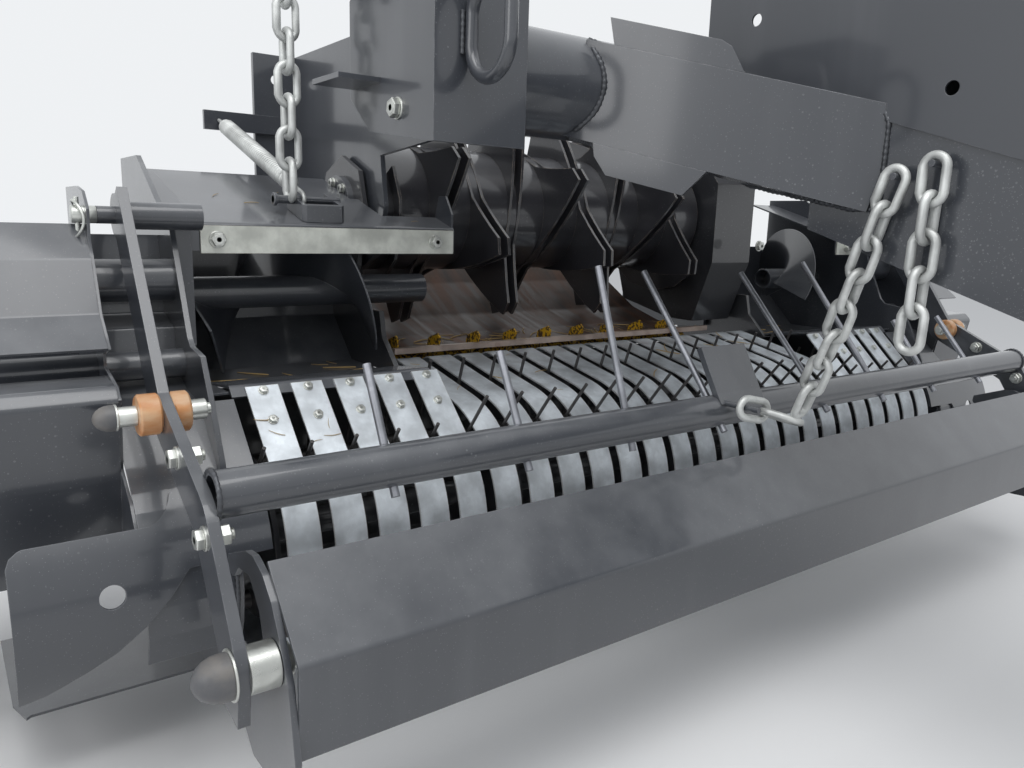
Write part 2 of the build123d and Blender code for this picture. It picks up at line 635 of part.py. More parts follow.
def make_guard():
    """Write the crop guard: arms, tube, rods, bushes, pins and the chain's bracket."""
    tube_centre = (GUARD_TUBE_Y, GUARD_TUBE_Z)
    tube = bar(-GUARD_ARM_X, 2 * GUARD_ARM_X, GUARD_TUBE_D, tube_centre)
    tube = tube - bar(-GUARD_ARM_X - 1, 2 * GUARD_ARM_X + 2, GUARD_TUBE_D - 2 * GUARD_TUBE_WALL,
                      tube_centre)
    save("guard_tube", tube)
    rods = []
    for x, tip_y, tip_z in GUARD_RODS:
        tip = Vector(x, tip_y, tip_z)
        seat = Vector(x, *tube_centre)
        run = (tip - seat).normalized()
        piece = rod(seat - run * 42, tip, ROD_D)
        piece = piece - bar(x - 20, 40, GUARD_TUBE_D, tube_centre)
        rods.extend(piece.solids())
    save("guard_rods", Compound(children=rods))

    arm_low = -GUARD_ARM_X - GUARD_ARM_T
    arm = sheet(GUARD_ARM_PATH, 40, GUARD_ARM_W, arm_low, GUARD_ARM_T)
    pivot = (GUARD_PIVOT_Y, GUARD_PIVOT_Z)
    low_pin = (DEFLECTOR_PIN_Y, DEFLECTOR_PIN_Z)
    arm = arm + bar(arm_low, GUARD_ARM_T, GUARD_ARM_W, pivot)
    arm = arm - bar(arm_low - 1, GUARD_ARM_T + 2, PIN_D + 2 * RUN_FIT, pivot)
    arm = arm - bar(arm_low - 1, GUARD_ARM_T + 2, PIN_D, low_pin)
    arm = arm - bar(arm_low - 1, GUARD_ARM_T + 2, BUSH_BOLT_D, BUSH_CENTRE)
    save_twins("guard_arms", arm)

    plate = SIDE_IN + SIDE_T
    pivot_pin = bar(arm_low - 24, -plate - arm_low + 24, PIN_D, pivot)
    sleeve = bar(-GUARD_ARM_X + RUN_GAP, GUARD_ARM_X - RUN_GAP - plate, 40, pivot)
    save_twins("guard_pivots", pivot_pin + sleeve)

    flange_in = -DEFLECTOR_HALF + DEFLECTOR_FLANGE_T
    pin = bar(arm_low - 12, flange_in + 16 - arm_low + 12, PIN_D, low_pin)
    dome = revolve(Plane.XY * make_face(Polyline((0, 0), (26, 0), (26, 14), (21, 30), (10, 38),
                                                 (0, 40), close=True)), Axis.Y)
    dome_place = Pos(arm_low, *low_pin) * Rot(0, 0, 90)
    spacer = bar(-GUARD_ARM_X, GUARD_ARM_X - DEFLECTOR_HALF - RUN_GAP, 44, low_pin)
    save_twins("deflector_pins", pin + dome_place * dome + spacer)

    bolt = bar(arm_low - 80, 100 + GUARD_ARM_T, BUSH_BOLT_D, BUSH_CENTRE)
    bolt = bolt + Pos(arm_low - 62, *BUSH_CENTRE) * Rot(0, 0, 90) * dome
    bush = bar(arm_low - 60, 60, BUSH_D, BUSH_CENTRE) - bar(arm_low - 61, 62, BUSH_BOLT_D,
                                                         BUSH_CENTRE)
    save_twins("bush_bolts", bolt)
    save_twins("guard_bushes", bush)

    bracket = slab([(-352, 206), (-340, 224), (-296, 300), (-286, 294), (-330, 218)], -166, 118)
    last, along = route_place(GUARD_CHAIN_ROUTE, GUARD_CHAIN_LINKS - 1)
    pin_at = last + along * (LINK_LENGTH / 2 - LINK_WIRE - LINK_SEAT - PEG_D / 2)
    bracket = bracket + rod((pin_at.X, -420, pin_at.Z), (pin_at.X, -345, pin_at.Z), PEG_D)
    bracket = bracket - bar(-180, 160, GUARD_TUBE_D, tube_centre)
    save("chain_bracket", bracket)


# Outline of the deflector's end flange, in (y, z)
FLANGE_OUTLINE = [(-387, 122), (-282, 98), (-268, 40), (-280, -30), (-311, -92), (-370, -140),
                  (-440, -150), (-470, -84), (-478, 31)]


def make_deflector():
    """Write the folded deflector that hangs between the guard's arms."""
    path = [(-387, 120), (-476, 31), (-470, -84)]
    flange_in = DEFLECTOR_HALF - DEFLECTOR_FLANGE_T
    fold = sheet(path, 10, DEFLECTOR_T, -flange_in, 2 * flange_in)
    for x_low in (-DEFLECTOR_HALF, flange_in):
        end = slab(FLANGE_OUTLINE, x_low, DEFLECTOR_FLANGE_T)
        end = end - bar(x_low - 1, DEFLECTOR_FLANGE_T + 2, PIN_D + 2 * RUN_FIT,
                        (DEFLECTOR_PIN_Y, DEFLECTOR_PIN_Z))
        fold = fold + end
    save("deflector", fold)


def beam_z(y):
    """Return the height of the drawbar's middle line at a place along the machine."""
    return BEAM_MID_Z + DRAW_SLOPE * (y - BEAM_MID_Y)


def sloped_box(y_rear, y_front, low, high):
    """Return the (y, z) outline of a box along the drawbar's slope."""
    return [(y_rear, beam_z(y_rear) + low), (y_front, beam_z(y_front) + low),
            (y_front, beam_z(y_front) + high), (y_rear, beam_z(y_rear) + high)]


def make_drawbar():
    """Write the cross tube with its brackets, the two legs, the beam, hood and hitch eye."""
    tube_centre = (DRAW_TUBE_Y, DRAW_TUBE_Z)
    full = bar(-DRAW_TUBE_HALF, 2 * DRAW_TUBE_HALF, DRAW_TUBE_D, tube_centre)
    tube = full - bar(-DRAW_TUBE_HALF - 1, 2 * DRAW_TUBE_HALF + 2, DRAW_TUBE_D - 20, tube_centre)
    save("cross_tube", tube)

    inner_x, outer_x = 509.0, 670.0
    front = slab([(BRACKET_Y, BRACKET_LOW), (BRACKET_Y, BRACKET_HIGH),
                  (BRACKET_Y + 8, BRACKET_HIGH), (BRACKET_Y + 8, BRACKET_LOW)],
                 -outer_x, outer_x - inner_x)
    wall_outline = [(BRACKET_Y + 8, BRACKET_LOW), (BRACKET_Y + 8, BRACKET_HIGH),
                    (-10, BRACKET_HIGH), (60, 850), (60, 700), (-10, BRACKET_LOW + 26)]
    bracket = front
    for x_low in (-outer_x, -inner_x - 8):
        bracket = bracket + slab(wall_outline, x_low, 8)
    bracket = bracket - bar(-DRAW_TUBE_HALF, 300, DRAW_TUBE_D, tube_centre)
    save_twins("tube_brackets", bracket)
    shelf = Pos(-(outer_x + 35), 0, 717) * Box(70, 100, 8)
    save_twins("bracket_shelves", shelf)
    loop = Pos(-548, BRACKET_Y - 14, 800) * (Box(52, 28, 150) - Box(26, 30, 116))
    save("lashing_ring", loop)

    root = Vector(-LEG_ROOT_X, DRAW_TUBE_Y, DRAW_TUBE_Z - 5)
    nose = Vector(-LEG_NOSE_X, LEG_NOSE_Y, beam_z(LEG_NOSE_Y) + 15)
    run = nose - root
    across = Vector(0, 0, 1).cross(run)
    plane = Plane(origin=root, x_dir=across, z_dir=run)
    leg = extrude(plane * (Rectangle(LEG_SIZE, LEG_SIZE) - Rectangle(LEG_SIZE - 16, LEG_SIZE - 16)),
                  amount=run.length)
    beam_outline = sloped_box(BEAM_REAR_Y, BEAM_FRONT_Y, -BEAM_H / 2, BEAM_H / 2)
    beam_full = slab(beam_outline, -BEAM_W / 2, BEAM_W)
    leg = leg - full - beam_full - Pos(BEAM_W, LEG_NOSE_Y, 500) * Box(2 * BEAM_W, 600, 900)
    leg = leg.solids().sort_by(SortBy.VOLUME)[-1]
    save_twins("drawbar_legs", leg)
    hollow = slab(sloped_box(BEAM_REAR_Y + 10, BEAM_FRONT_Y + 12, -BEAM_H / 2 + 10, BEAM_H / 2 - 10),
                  -BEAM_W / 2 + 10, BEAM_W - 20)
    beam = beam_full - hollow
    for peg in CHAIN_PEGS:
        beam = beam + bar(-BEAM_W / 2 - PEG_LENGTH, PEG_LENGTH + 5, PEG_D, peg)
    save("drawbar_beam", beam)

    top = Vector(0, 0, LEG_SIZE / 2 + 5)
    gussets = []
    for sign in (1, -1):
        z = DRAW_TUBE_Z + sign * (LEG_SIZE / 2 + 6)
        outline = [(-430, -60), (-420, -30), (-300, -20), (-190, -30), (-150, -140), (-205, -260),
                   (-330, -240)]
        face = Plane.XY.offset(z - 5) * make_face(Polyline(*outline, close=True))
        gussets.append(extrude(face, amount=10) - full - leg)
    gussets = [piece.solids().sort_by(SortBy.VOLUME)[-1] for piece in gussets]
    save_twins("leg_gussets", Compound(children=gussets))

    hood_low = sloped_box(-205, -1100, BEAM_H / 2 - HOOD_SKIRT, BEAM_H / 2 + HOOD_H)
    hood_in = sloped_box(-200, -1110, -BEAM_H / 2, BEAM_H / 2 + HOOD_H - HOOD_WALL)
    hood = slab(hood_low, -HOOD_HALF, 2 * HOOD_HALF) - slab(hood_in, -BEAM_W / 2, BEAM_W)
    for y, z in ((-647, 706), (-307, 851)):
        hood = hood - bar(-HOOD_HALF - 5, 2 * HOOD_HALF + 10, 20, (y, z))
    hood = hood - full - leg - mirrored(leg)
    save("drawbar_hood", hood.solids().sort_by(SortBy.VOLUME)[-1])

    eye_z = beam_z(BEAM_FRONT_Y) - 20
    shank = Pos(0, (BEAM_FRONT_Y + HITCH_Y) / 2, eye_z) * Box(90, BEAM_FRONT_Y - HITCH_Y, HITCH_T)
    ring = Pos(0, HITCH_Y, eye_z) * Cylinder(58, HITCH_T)
    hole = Pos(0, HITCH_Y, eye_z) * Cylinder(HITCH_HOLE_R, HITCH_T + 10)
    save("hitch_eye", shank + ring - hole)


def make_link(centre, along, side):
    """Return one welded chain link as flat facets round its oval middle line."""
    along = along.normalized()
    side = (side - along * along.dot(side)).normalized()
    normal = along.cross(side)
    bend = (LINK_WIDTH - LINK_WIRE) / 2
    half = (LINK_LENGTH - LINK_WIDTH) / 2
    loops = 12
    wire_sides = 6
    points = []
    for step in range(loops):
        angle = 2 * math.pi * (step + 0.5) / loops
        out = along * math.cos(angle) + side * math.sin(angle)
        shift = half if math.cos(angle) > 0 else -half
        middle = centre + along * shift + out * bend
        for corner in range(wire_sides):
            turn = 2 * math.pi * (corner + 0.5) / wire_sides
            offset = out * math.cos(turn) + normal * math.sin(turn)
            points.append(tuple(middle + offset * (LINK_WIRE / 2)))
    faces = []
    for step in range(loops):
        for corner in range(wire_sides):
            a = step * wire_sides + corner
            b = step * wire_sides + (corner + 1) % wire_sides
            c = (a + wire_sides) % len(points)
            d = (b + wire_sides) % len(points)
            faces.append([a, b, d])
            faces.append([a, d, c])
    return facets(points, faces)


def route_place(route, index):
    """Return a link's middle and its direction on a chain's route of (x, y, z) points."""
    line = Polyline(*[Vector(*point) for point in route])
    place = (index + 0.5) * LINK_PITCH
    return line.position_at(place, PositionMode.LENGTH), line.tangent_at(place, PositionMode.LENGTH)


def chain_links(route, first_side, count):
    """Return links marched along a route, each turned a quarter from the last."""
    links = []
    for index in range(count):
        centre, along = route_place(route, index)
        side = first_side
        if index % 2:
            side = along.cross(first_side)
        links.append(make_link(centre, along, side))
    return links


def make_chains():
    """Write the guard's chain with its loose tail, and the pickup's lift chain and spring."""
    flat = Vector(0, 1, 0)
    guard_links = chain_links(GUARD_CHAIN_ROUTE, flat, GUARD_CHAIN_LINKS)
    tail_links = chain_links(TAIL_CHAIN_ROUTE, flat, TAIL_CHAIN_LINKS)
    save("guard_chain", Compound(children=guard_links + tail_links))

    first_z = EYE_Z + EYE_GAP / 2 + LINK_LENGTH / 2 - LINK_WIRE - LINK_SEAT
    top_z = first_z + (LIFT_CHAIN_LINKS - 1) * LINK_PITCH
    route = [(EYE_X, EYE_Y, first_z - LINK_PITCH / 2), (EYE_X, EYE_Y, top_z + LINK_PITCH)]
    save("lift_chain", Compound(children=chain_links(route, Vector(0, 1, 0), LIFT_CHAIN_LINKS)))
    lever_z = top_z + LINK_LENGTH / 2 - LINK_WIRE - LINK_SEAT - LEVER_D / 2
    cheek_out = CHEEK_IN + CHEEK_T
    lever = bar(EYE_X - 40, -EYE_X + 40 - cheek_out, LEVER_D, (EYE_Y, lever_z))
    lever = lever + bar(EYE_X - 40, 5, 34, (EYE_Y, lever_z))
    lever = lever + bar(EYE_X + 30, -EYE_X - 30 - cheek_out, 40, (EYE_Y, lever_z))
    post_low = 790.0
    post = Pos(-cheek_out - 6, EYE_Y, (lever_z + 30 + post_low) / 2)
    save("lift_lever", lever + post * Box(12, 70, lever_z + 30 - post_low))

    eye_back = EYE_Y + EYE_T / 2 + RUN_GAP
    anchor_front = FLANGE_Y - FLANGE_T - ANCHOR_T
    start = Vector(EYE_X + 20, EYE_Y, EYE_Z + EYE_GAP / 2 + EYE_BAR - 6)
    end = Vector(EYE_X + 20, anchor_front + 5, SPRING_ANCHOR_Z)
    run = (end - start).normalized()
    coil = rod(start + run * 45, end - run * 45, SPRING_D) + rod(start, end, SPRING_WIRE)
    reach = anchor_front - RUN_GAP - eye_back
    room = Pos(EYE_X + 20, eye_back + reach / 2, SPRING_ANCHOR_Z) * Box(60, reach, 600)
    save("lift_spring", coil & room)
    low_x = EYE_X - 10
    high_x = -CHEEK_IN - CHEEK_T
    anchor = Pos((low_x + high_x) / 2, anchor_front + ANCHOR_T / 2, SPRING_ANCHOR_Z)
    save("spring_anchor", anchor * Box(high_x - low_x, ANCHOR_T, 40))


if __name__ == "__main__":
    make_bands()
    make_reel()
    make_rotor()
    make_augers()
    make_throat()
    make_pickup()
    make_side_guards()
    make_wheels()
    make_guard()
    make_deflector()
    make_drawbar()
    make_chains()
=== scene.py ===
# %% [markdown]
# # Front intake unit of a round baler
#
# A baler's intake lifts a swath of hay with tines, squeezes it past a slotted floor with a rotor, and
# pushes it into the bale chamber. The solid pieces are already there as a frame of plain meshes. This
# lesson gives them their finishes, and adds what is too small or too many for a solid: bolts, chain
# links, weld beads, a coiled spring, the tyres' ribs and some straw.

# %% Load the frame
import math
import random

import bmesh
import bpy
from mathutils import Matrix, Vector
from mathutils.bvhtree import BVHTree


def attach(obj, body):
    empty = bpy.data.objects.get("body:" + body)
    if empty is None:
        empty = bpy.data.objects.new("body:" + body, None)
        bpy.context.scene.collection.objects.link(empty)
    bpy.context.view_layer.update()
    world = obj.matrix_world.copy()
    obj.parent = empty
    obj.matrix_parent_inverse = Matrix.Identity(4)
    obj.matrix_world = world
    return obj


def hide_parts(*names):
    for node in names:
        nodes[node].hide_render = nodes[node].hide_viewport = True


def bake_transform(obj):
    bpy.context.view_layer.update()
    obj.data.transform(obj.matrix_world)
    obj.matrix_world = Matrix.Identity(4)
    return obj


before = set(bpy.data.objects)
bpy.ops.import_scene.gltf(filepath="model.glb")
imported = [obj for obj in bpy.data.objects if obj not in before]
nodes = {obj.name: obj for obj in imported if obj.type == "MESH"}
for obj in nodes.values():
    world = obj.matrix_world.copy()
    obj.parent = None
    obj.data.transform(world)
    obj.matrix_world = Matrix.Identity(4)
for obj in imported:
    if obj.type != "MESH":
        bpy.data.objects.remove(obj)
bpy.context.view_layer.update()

# %% [markdown]
# ## Camera
#
# The picture is taken close up, from the front left, a little above the deflector. A camera could be
# placed by eye, but here its place, heading, tilt and roll are named, so each can be read and changed
# on its own. The lens follows from the field of view that the picture shows.

# %% Camera
CAMERA_AT = Vector((-1.267, -1.873, -0.048))
CAMERA_HEADING = math.radians(36.25)
CAMERA_TILT = math.radians(11.42)
CAMERA_ROLL = math.radians(1.76)
CAMERA_LENS = 28.125

scene = bpy.context.scene


def placed(name, data):
    """Return a new object in the scene for a mesh, a camera or a lamp."""
    made = bpy.data.objects.new(name, data)
    scene.collection.objects.link(made)
    return made


camera_data = bpy.data.cameras.new("camera")
camera_data.lens = CAMERA_LENS
camera = placed("camera", camera_data)
turn = Matrix.Rotation(-CAMERA_HEADING, 4, "Z") @ Matrix.Rotation(math.pi / 2 - CAMERA_TILT, 4, "X")
camera.matrix_world = Matrix.Translation(CAMERA_AT) @ turn @ Matrix.Rotation(CAMERA_ROLL, 4, "Z")
scene.camera = camera
print("camera at", tuple(round(value, 2) for value in CAMERA_AT))

# %% [markdown]
# ## Floor, backdrop and light
#
# Dark paint shows its form only by what it reflects, so the light is large and soft: a wide lamp
# overhead like a bright cloudy sky, and a pale world all round. The floor is one pale plane that keeps
# the shadow. The world shows pure white to the camera and to glossy rays, but lights the object less.

# %% Floor and light
GROUND_Z = -0.876
FLOOR_HALF = 14.0
scene.view_settings.view_transform = "Standard"
floor_mesh = bpy.data.meshes.new("studio_floor")
corners = [(x * FLOOR_HALF, y * FLOOR_HALF, GROUND_Z) for x, y in ((-1, -1), (1, -1), (1, 1), (-1, 1))]
floor_mesh.from_pydata(corners, [], [(0, 1, 2, 3)])
placed("studio_floor", floor_mesh)

world = bpy.data.worlds.new("studio")
scene.world = world
world.use_nodes = True
world_nodes = world.node_tree.nodes
world_links = world.node_tree.links
lamp = world_nodes["Background"]
lamp.inputs["Color"].default_value = (0.93, 0.96, 1.0, 1)
lamp.inputs["Strength"].default_value = 0.62
shown = world_nodes.new("ShaderNodeBackground")
shown.inputs["Color"].default_value = (0.86, 0.88, 0.90, 1)
shown.inputs["Strength"].default_value = 1.0
ray = world_nodes.new("ShaderNodeLightPath")
choose = world_nodes.new("ShaderNodeMixShader")
seen_white = ray.outputs["Is Camera Ray"]
for word in ("Is Transmission Ray", "Is Glossy Ray"):
    either = world_nodes.new("ShaderNodeMath")
    either.operation = "MAXIMUM"
    world_links.new(seen_white, either.inputs[0])
    world_links.new(ray.outputs[word], either.inputs[1])
    seen_white = either.outputs[0]
world_links.new(seen_white, choose.inputs["Fac"])
world_links.new(lamp.outputs[0], choose.inputs[1])
world_links.new(shown.outputs[0], choose.inputs[2])
world_links.new(choose.outputs[0], world_nodes["World Output"].inputs["Surface"])


def soft_lamp(name, at, aim, size, power):
    """Add a square area lamp that points at a place."""
    data = bpy.data.lights.new(name, "AREA")
    data.size = size
    data.energy = power
    aimed = (Vector(aim) - Vector(at)).to_track_quat("-Z", "Y").to_matrix().to_4x4()
    placed(name, data).matrix_world = Matrix.Translation(at) @ aimed


soft_lamp("sky_lamp", (-1.2, -2.2, 3.2), (0.0, -0.6, -0.5), 3.0, 95)
soft_lamp("side_lamp", (-4.0, -1.5, 1.2), (-0.6, -0.9, -0.5), 2.0, 30)
print("lamps and floor set")

# %% [markdown]
# ## Shader maths as Python
#
# A material's pattern is a sum of masks, and node by node that is hard to read. One small class wraps
# a socket so that `1 - mask` or `noise * 0.3` adds the Math node. Every other node comes from one
# method that takes its type, its settings and its inputs, so each finish below reads like a recipe.


# %% Shader helper
class Mask:
    """A shader socket that takes part in Python arithmetic."""

    def __init__(self, finish, socket):
        self.finish = finish
        self.socket = socket

    def maths(self, operation, first, second):
        return self.finish.node("ShaderNodeMath", {"operation": operation}, {0: first, 1: second})

    def __add__(self, other):
        return self.maths("ADD", self, other)

    def __mul__(self, other):
        return self.maths("MULTIPLY", self, other)

    def __rsub__(self, other):
        return self.maths("SUBTRACT", other, self)

    __radd__ = __add__

    def step(self, low, high):
        """Return 0 below low, 1 above high and a smooth rise between."""
        return self.finish.node("ShaderNodeMapRange", {"interpolation_type": "SMOOTHSTEP"},
                                {"Value": self, "From Min": low, "From Max": high})


class Finish:
    """A material being made: its nodes, its shader and the patterns that all finishes share."""

    def __init__(self, name, **constants):
        self.material = bpy.data.materials.new(name)
        self.material.use_nodes = True
        self.tree = self.material.node_tree
        self.shader = self.tree.nodes["Principled BSDF"]
        for word, value in constants.items():
            self.shader.inputs[word.replace("_", " ")].default_value = value
        self.place = self.node("ShaderNodeTexCoord", output="Object")

    def node(self, kind, settings=None, inputs=None, output=0):
        made = self.tree.nodes.new(kind)
        for word, value in (settings or {}).items():
            setattr(made, word, value)
        for key, value in (inputs or {}).items():
            if isinstance(value, Mask):
                self.tree.links.new(value.socket, made.inputs[key])
            else:
                made.inputs[key].default_value = value
        return Mask(self, made.outputs[output])

    def stretched(self, scale):
        """Return the surface's place, scaled along each axis."""
        return self.node("ShaderNodeMapping", {}, {"Vector": self.place, "Scale": scale})

    def noise(self, scale, detail=3.0, stretch=(1.0, 1.0, 1.0)):
        return self.node("ShaderNodeTexNoise", {},
                         {"Vector": self.stretched(stretch), "Scale": scale, "Detail": detail})

    def spots(self, scale, size, share):
        """Return round spots: one in each cell, of which only a share is kept."""
        cell = {"Vector": self.place, "Scale": scale}
        near = self.node("ShaderNodeTexVoronoi", {}, cell, "Distance")
        pick = self.node("ShaderNodeTexVoronoi", {}, cell, "Color")
        chosen = self.node("ShaderNodeSeparateColor", {}, {0: pick}).step(1 - share, 1 - share + 0.01)
        return (1 - near.step(size * 0.7, size)) * chosen

    def upward(self):
        """Return 1 on faces that look up and 0 on walls."""
        facing = self.node("ShaderNodeNewGeometry", output="Normal")
        height = self.node("ShaderNodeSeparateXYZ", {}, {0: facing}, "Z")
        return height.step(0.2, 0.95)

    def edges(self, radius):
        """Return 1 where a rounded edge would turn away from the flat face."""
        flat = self.node("ShaderNodeNewGeometry", output="Normal")
        soft = self.node("ShaderNodeBevel", {"samples": 4}, {"Radius": radius})
        cosine = self.node("ShaderNodeVectorMath", {"operation": "DOT_PRODUCT"}, {0: flat, 1: soft}, "Value")
        return 1 - cosine.step(0.86, 0.995)

    def mix(self, share, first, second):
        return self.node("ShaderNodeMix", {"data_type": "RGBA"}, {0: share, 6: first, 7: second}, 2)

    def dent(self, height, strength, depth, edge=0.0):
        """Feed a height into the shader's normal, over edges rounded by a radius."""
        inputs = {"Height": height, "Strength": strength, "Distance": depth}
        if edge:
            inputs["Normal"] = self.node("ShaderNodeBevel", {"samples": 4}, {"Radius": edge})
        self.feed("Normal", self.node("ShaderNodeBump", {}, inputs))

    def feed(self, socket, value):
        self.tree.links.new(value.socket, self.shader.inputs[socket])


def colour(red, green, blue):
    """Return a linear colour from the 0 to 255 values that a picture shows."""
    parts = []
    for value in (red, green, blue):
        share = value / 255
        parts.append(share / 12.92 if share <= 0.04045 else ((share + 0.055) / 1.055) ** 2.4)
    return (*parts, 1.0)


print("shader helper ready")

# %% [markdown]
# ## Dark machine paint
#
# The frame is powder coated in anthracite. It isn't flat grey: dried water drops leave pale spots,
# dust lies on what looks up, and the coat has a faint orange peel. Each of these is one mask on the
# same place pattern, mixed into the colour and the roughness, so they stay in step with each other.


# %% Dark machine paint
def machine_paint(name, tone, dust, edge_tone, gloss=0.28):
    """Return anthracite paint with dust, drop marks and edges rubbed to a given tone."""
    finish = Finish(name, Metallic=0.0, Specular_IOR_Level=0.55, Coat_Weight=0.8, Coat_Roughness=0.1)
    blotch = finish.noise(3.5, 4).step(0.35, 0.7)
    streak = finish.noise(9.0, 5, (1.0, 1.0, 0.12)).step(0.5, 0.75)
    grain = finish.noise(260, 2)
    drops = finish.spots(150, 0.26, 0.2) * finish.noise(5.0, 2).step(0.45, 0.65)
    specks = finish.spots(420, 0.28, 0.12)
    film = finish.upward() * finish.noise(14, 5).step(0.1, 0.95) * dust
    rubbed = finish.edges(0.0022) * finish.noise(45, 4).step(0.35, 0.65)
    dark = tuple(part * 0.82 for part in tone[:3]) + (1.0,)
    base = finish.mix(blotch * 0.4, tone, dark)
    base = finish.mix(film * 0.5 + streak * (0.10 * dust), base, colour(138, 140, 143))
    base = finish.mix(drops * 0.22 + specks * 0.25, base, colour(150, 151, 152))
    base = finish.mix(rubbed * 0.75, base, edge_tone)
    finish.feed("Base Color", base)
    finish.feed("Roughness", gloss + blotch * 0.06 + film * 0.28 + drops * 0.15 + grain * 0.05)
    finish.dent(finish.noise(900, 2) + drops * 0.4, 0.06, 0.0006, 0.0016)
    return finish.material


frame_paint = machine_paint("anthracite_paint", colour(57, 60, 66), 0.8, colour(120, 122, 126))
inner_paint = machine_paint("shaded_paint", colour(42, 43, 47), 0.35, colour(110, 104, 98), 0.4)
# The rotor's copy of the anthracite is darker: painted shade for the rotor, which sits enclosed deep in the
# machine. Its brown edges are wear.
rotor_paint = machine_paint("rotor_paint", colour(48, 48, 52), 0.5, colour(184, 170, 154), 0.26)
print("paints:", frame_paint.name, inner_paint.name, rotor_paint.name)

# %% [markdown]
# ## Zinc and bare steel
#
# Hot-dip zinc on the bands is pale and cloudy, with brown cut edges where the sheet was sheared after
# plating. Bolts carry a brighter plating. Bare parts are polished by the crop where it runs and rust
# between. One function covers them, since only tone, roughness and rust differ.


# %% Zinc and steel
def bare_metal(name, tone, rust_tone, rust, rough, edge_share, stretch=(1.0, 1.0, 1.0), metallic=0.85):
    """Return plated or bare metal: cloudy tone, rust patches and stained edges."""
    finish = Finish(name)
    cloud = finish.noise(22, 4, stretch).step(0.3, 0.7)
    spangle = finish.node("ShaderNodeTexVoronoi", {}, {"Vector": finish.place, "Scale": 130.0}, "Color")
    flake = finish.node("ShaderNodeSeparateColor", {}, {0: spangle})
    scratch = finish.noise(60, 4, (1.0, 0.06, 0.06)).step(0.45, 0.8)
    patches = finish.noise(11, 6).step(0.78 - rust * 0.4, 0.92 - rust * 0.3)
    edge = finish.edges(0.0018) * edge_share
    pale = tuple(min(1.0, part * 1.18) for part in tone[:3]) + (1.0,)
    dull = tuple(part * 0.74 for part in tone[:3]) + (1.0,)
    base = finish.mix(cloud, dull, pale)
    base = finish.mix(flake * 0.22 + scratch * 0.18, base, dull)
    stain = patches * 0.85 + edge * 0.9
    base = finish.mix(stain, base, rust_tone)
    finish.feed("Base Color", base)
    finish.feed("Metallic", metallic - stain * (metallic * 0.75))
    finish.feed("Roughness", rough + cloud * 0.08 + flake * 0.06 + stain * 0.3)
    finish.dent(finish.noise(500, 3) + scratch * 0.5, 0.1, 0.0005, 0.0012)
    return finish.material


RUST = colour(92, 58, 38)
band_zinc = bare_metal("band_zinc", colour(208, 214, 219), colour(118, 94, 76), 0.05, 0.38, 0.9, metallic=0.6)
strip_zinc = bare_metal("strip_zinc", colour(206, 208, 200), colour(120, 104, 84), 0.05, 0.36, 0.5,
                        metallic=0.6)
bolt_zinc = bare_metal("bolt_zinc", colour(206, 208, 203), colour(130, 112, 84), 0.05, 0.26, 0.1)
rod_zinc = bare_metal("rod_zinc", colour(146, 148, 154), colour(96, 90, 86), 0.06, 0.38, 0.1)
tine_steel = bare_metal("tine_steel", colour(86, 84, 84), colour(64, 48, 40), 0.4, 0.36, 0.1)
chain_zinc = bare_metal("chain_zinc", colour(202, 204, 202), colour(120, 108, 84), 0.1, 0.42, 0.0,
                        metallic=0.55)
bar_steel = bare_metal("floor_bar_steel", colour(176, 160, 150), RUST, 0.55, 0.3, 0.3)
weld_steel = bare_metal("weld_steel", colour(78, 80, 84), colour(56, 56, 58), 0.1, 0.3, 0.0, metallic=0.5)
print("metals made")

# %% [markdown]
# ## The knife floor
#
# Crop has scoured the floor's paint down to brown steel, in streaks that run the way the crop does.
# Noise that is squeezed along one axis gives such streaks. The knives' backs keep some yellow paint.


# %% Floor and knife finishes
def scoured_floor():
    """Return brown, streaked steel with crop juice dried on it."""
    finish = Finish("scoured_floor", Metallic=0.15)
    streak = finish.noise(42, 6, (1.0, 0.08, 0.2)).step(0.3, 0.72)
    juice = finish.noise(16, 6).step(0.42, 0.66)
    base = finish.mix(streak, colour(52, 38, 32), colour(112, 80, 62))
    base = finish.mix(juice * 0.7, base, colour(60, 44, 30))
    finish.feed("Base Color", base)
    finish.feed("Roughness", 0.36 + streak * 0.25)
    finish.dent(streak + juice * 0.6, 0.25, 0.001, 0.001)
    return finish.material


def chipped_yellow():
    """Return yellow paint that has chipped off to dark steel."""
    finish = Finish("chipped_yellow")
    chip = finish.noise(150, 5).step(0.46, 0.56)
    finish.feed("Base Color", finish.mix(chip, colour(206, 162, 34), colour(70, 52, 36)))
    finish.feed("Roughness", 0.42 + chip * 0.25)
    finish.dent(1 - chip, 0.5, 0.0006, 0.0008)
    return finish.material


floor_steel = scoured_floor()
knife_paint = chipped_yellow()
print("floor and knife finishes made")

# %% [markdown]
# ## Rubber, plastic and the amber bushes
#
# The guard's end stops are cast polyurethane, clear amber with a cloudy body, so some light passes
# through. The domed caps are grey moulded plastic, and the tyres are matt black with dust in the ribs.


# %% Rubber and plastic
def amber_bush():
    """Return clear amber polyurethane with cloudy streaks inside."""
    finish = Finish("amber_bush", Transmission_Weight=0.35, IOR=1.45)
    cloud = finish.noise(60, 4, (0.4, 1.0, 1.0)).step(0.3, 0.7)
    finish.feed("Base Color", finish.mix(cloud, colour(224, 156, 100), colour(238, 200, 160)))
    finish.feed("Roughness", 0.3 + cloud * 0.12)
    finish.dent(finish.noise(220, 3), 0.15, 0.0005, 0.0015)
    return finish.material


def moulded(name, tone, rough, dust):
    """Return moulded plastic or rubber with a dusty film."""
    finish = Finish(name)
    film = finish.noise(30, 5).step(0.35, 0.75) * dust
    scuff = finish.noise(140, 4).step(0.55, 0.8)
    finish.feed("Base Color", finish.mix(film + scuff * 0.12, tone, colour(128, 122, 114)))
    finish.feed("Roughness", rough + film * 0.2 + scuff * 0.08)
    finish.dent(finish.noise(600, 3) + scuff, 0.15, 0.0005, 0.001)
    return finish.material


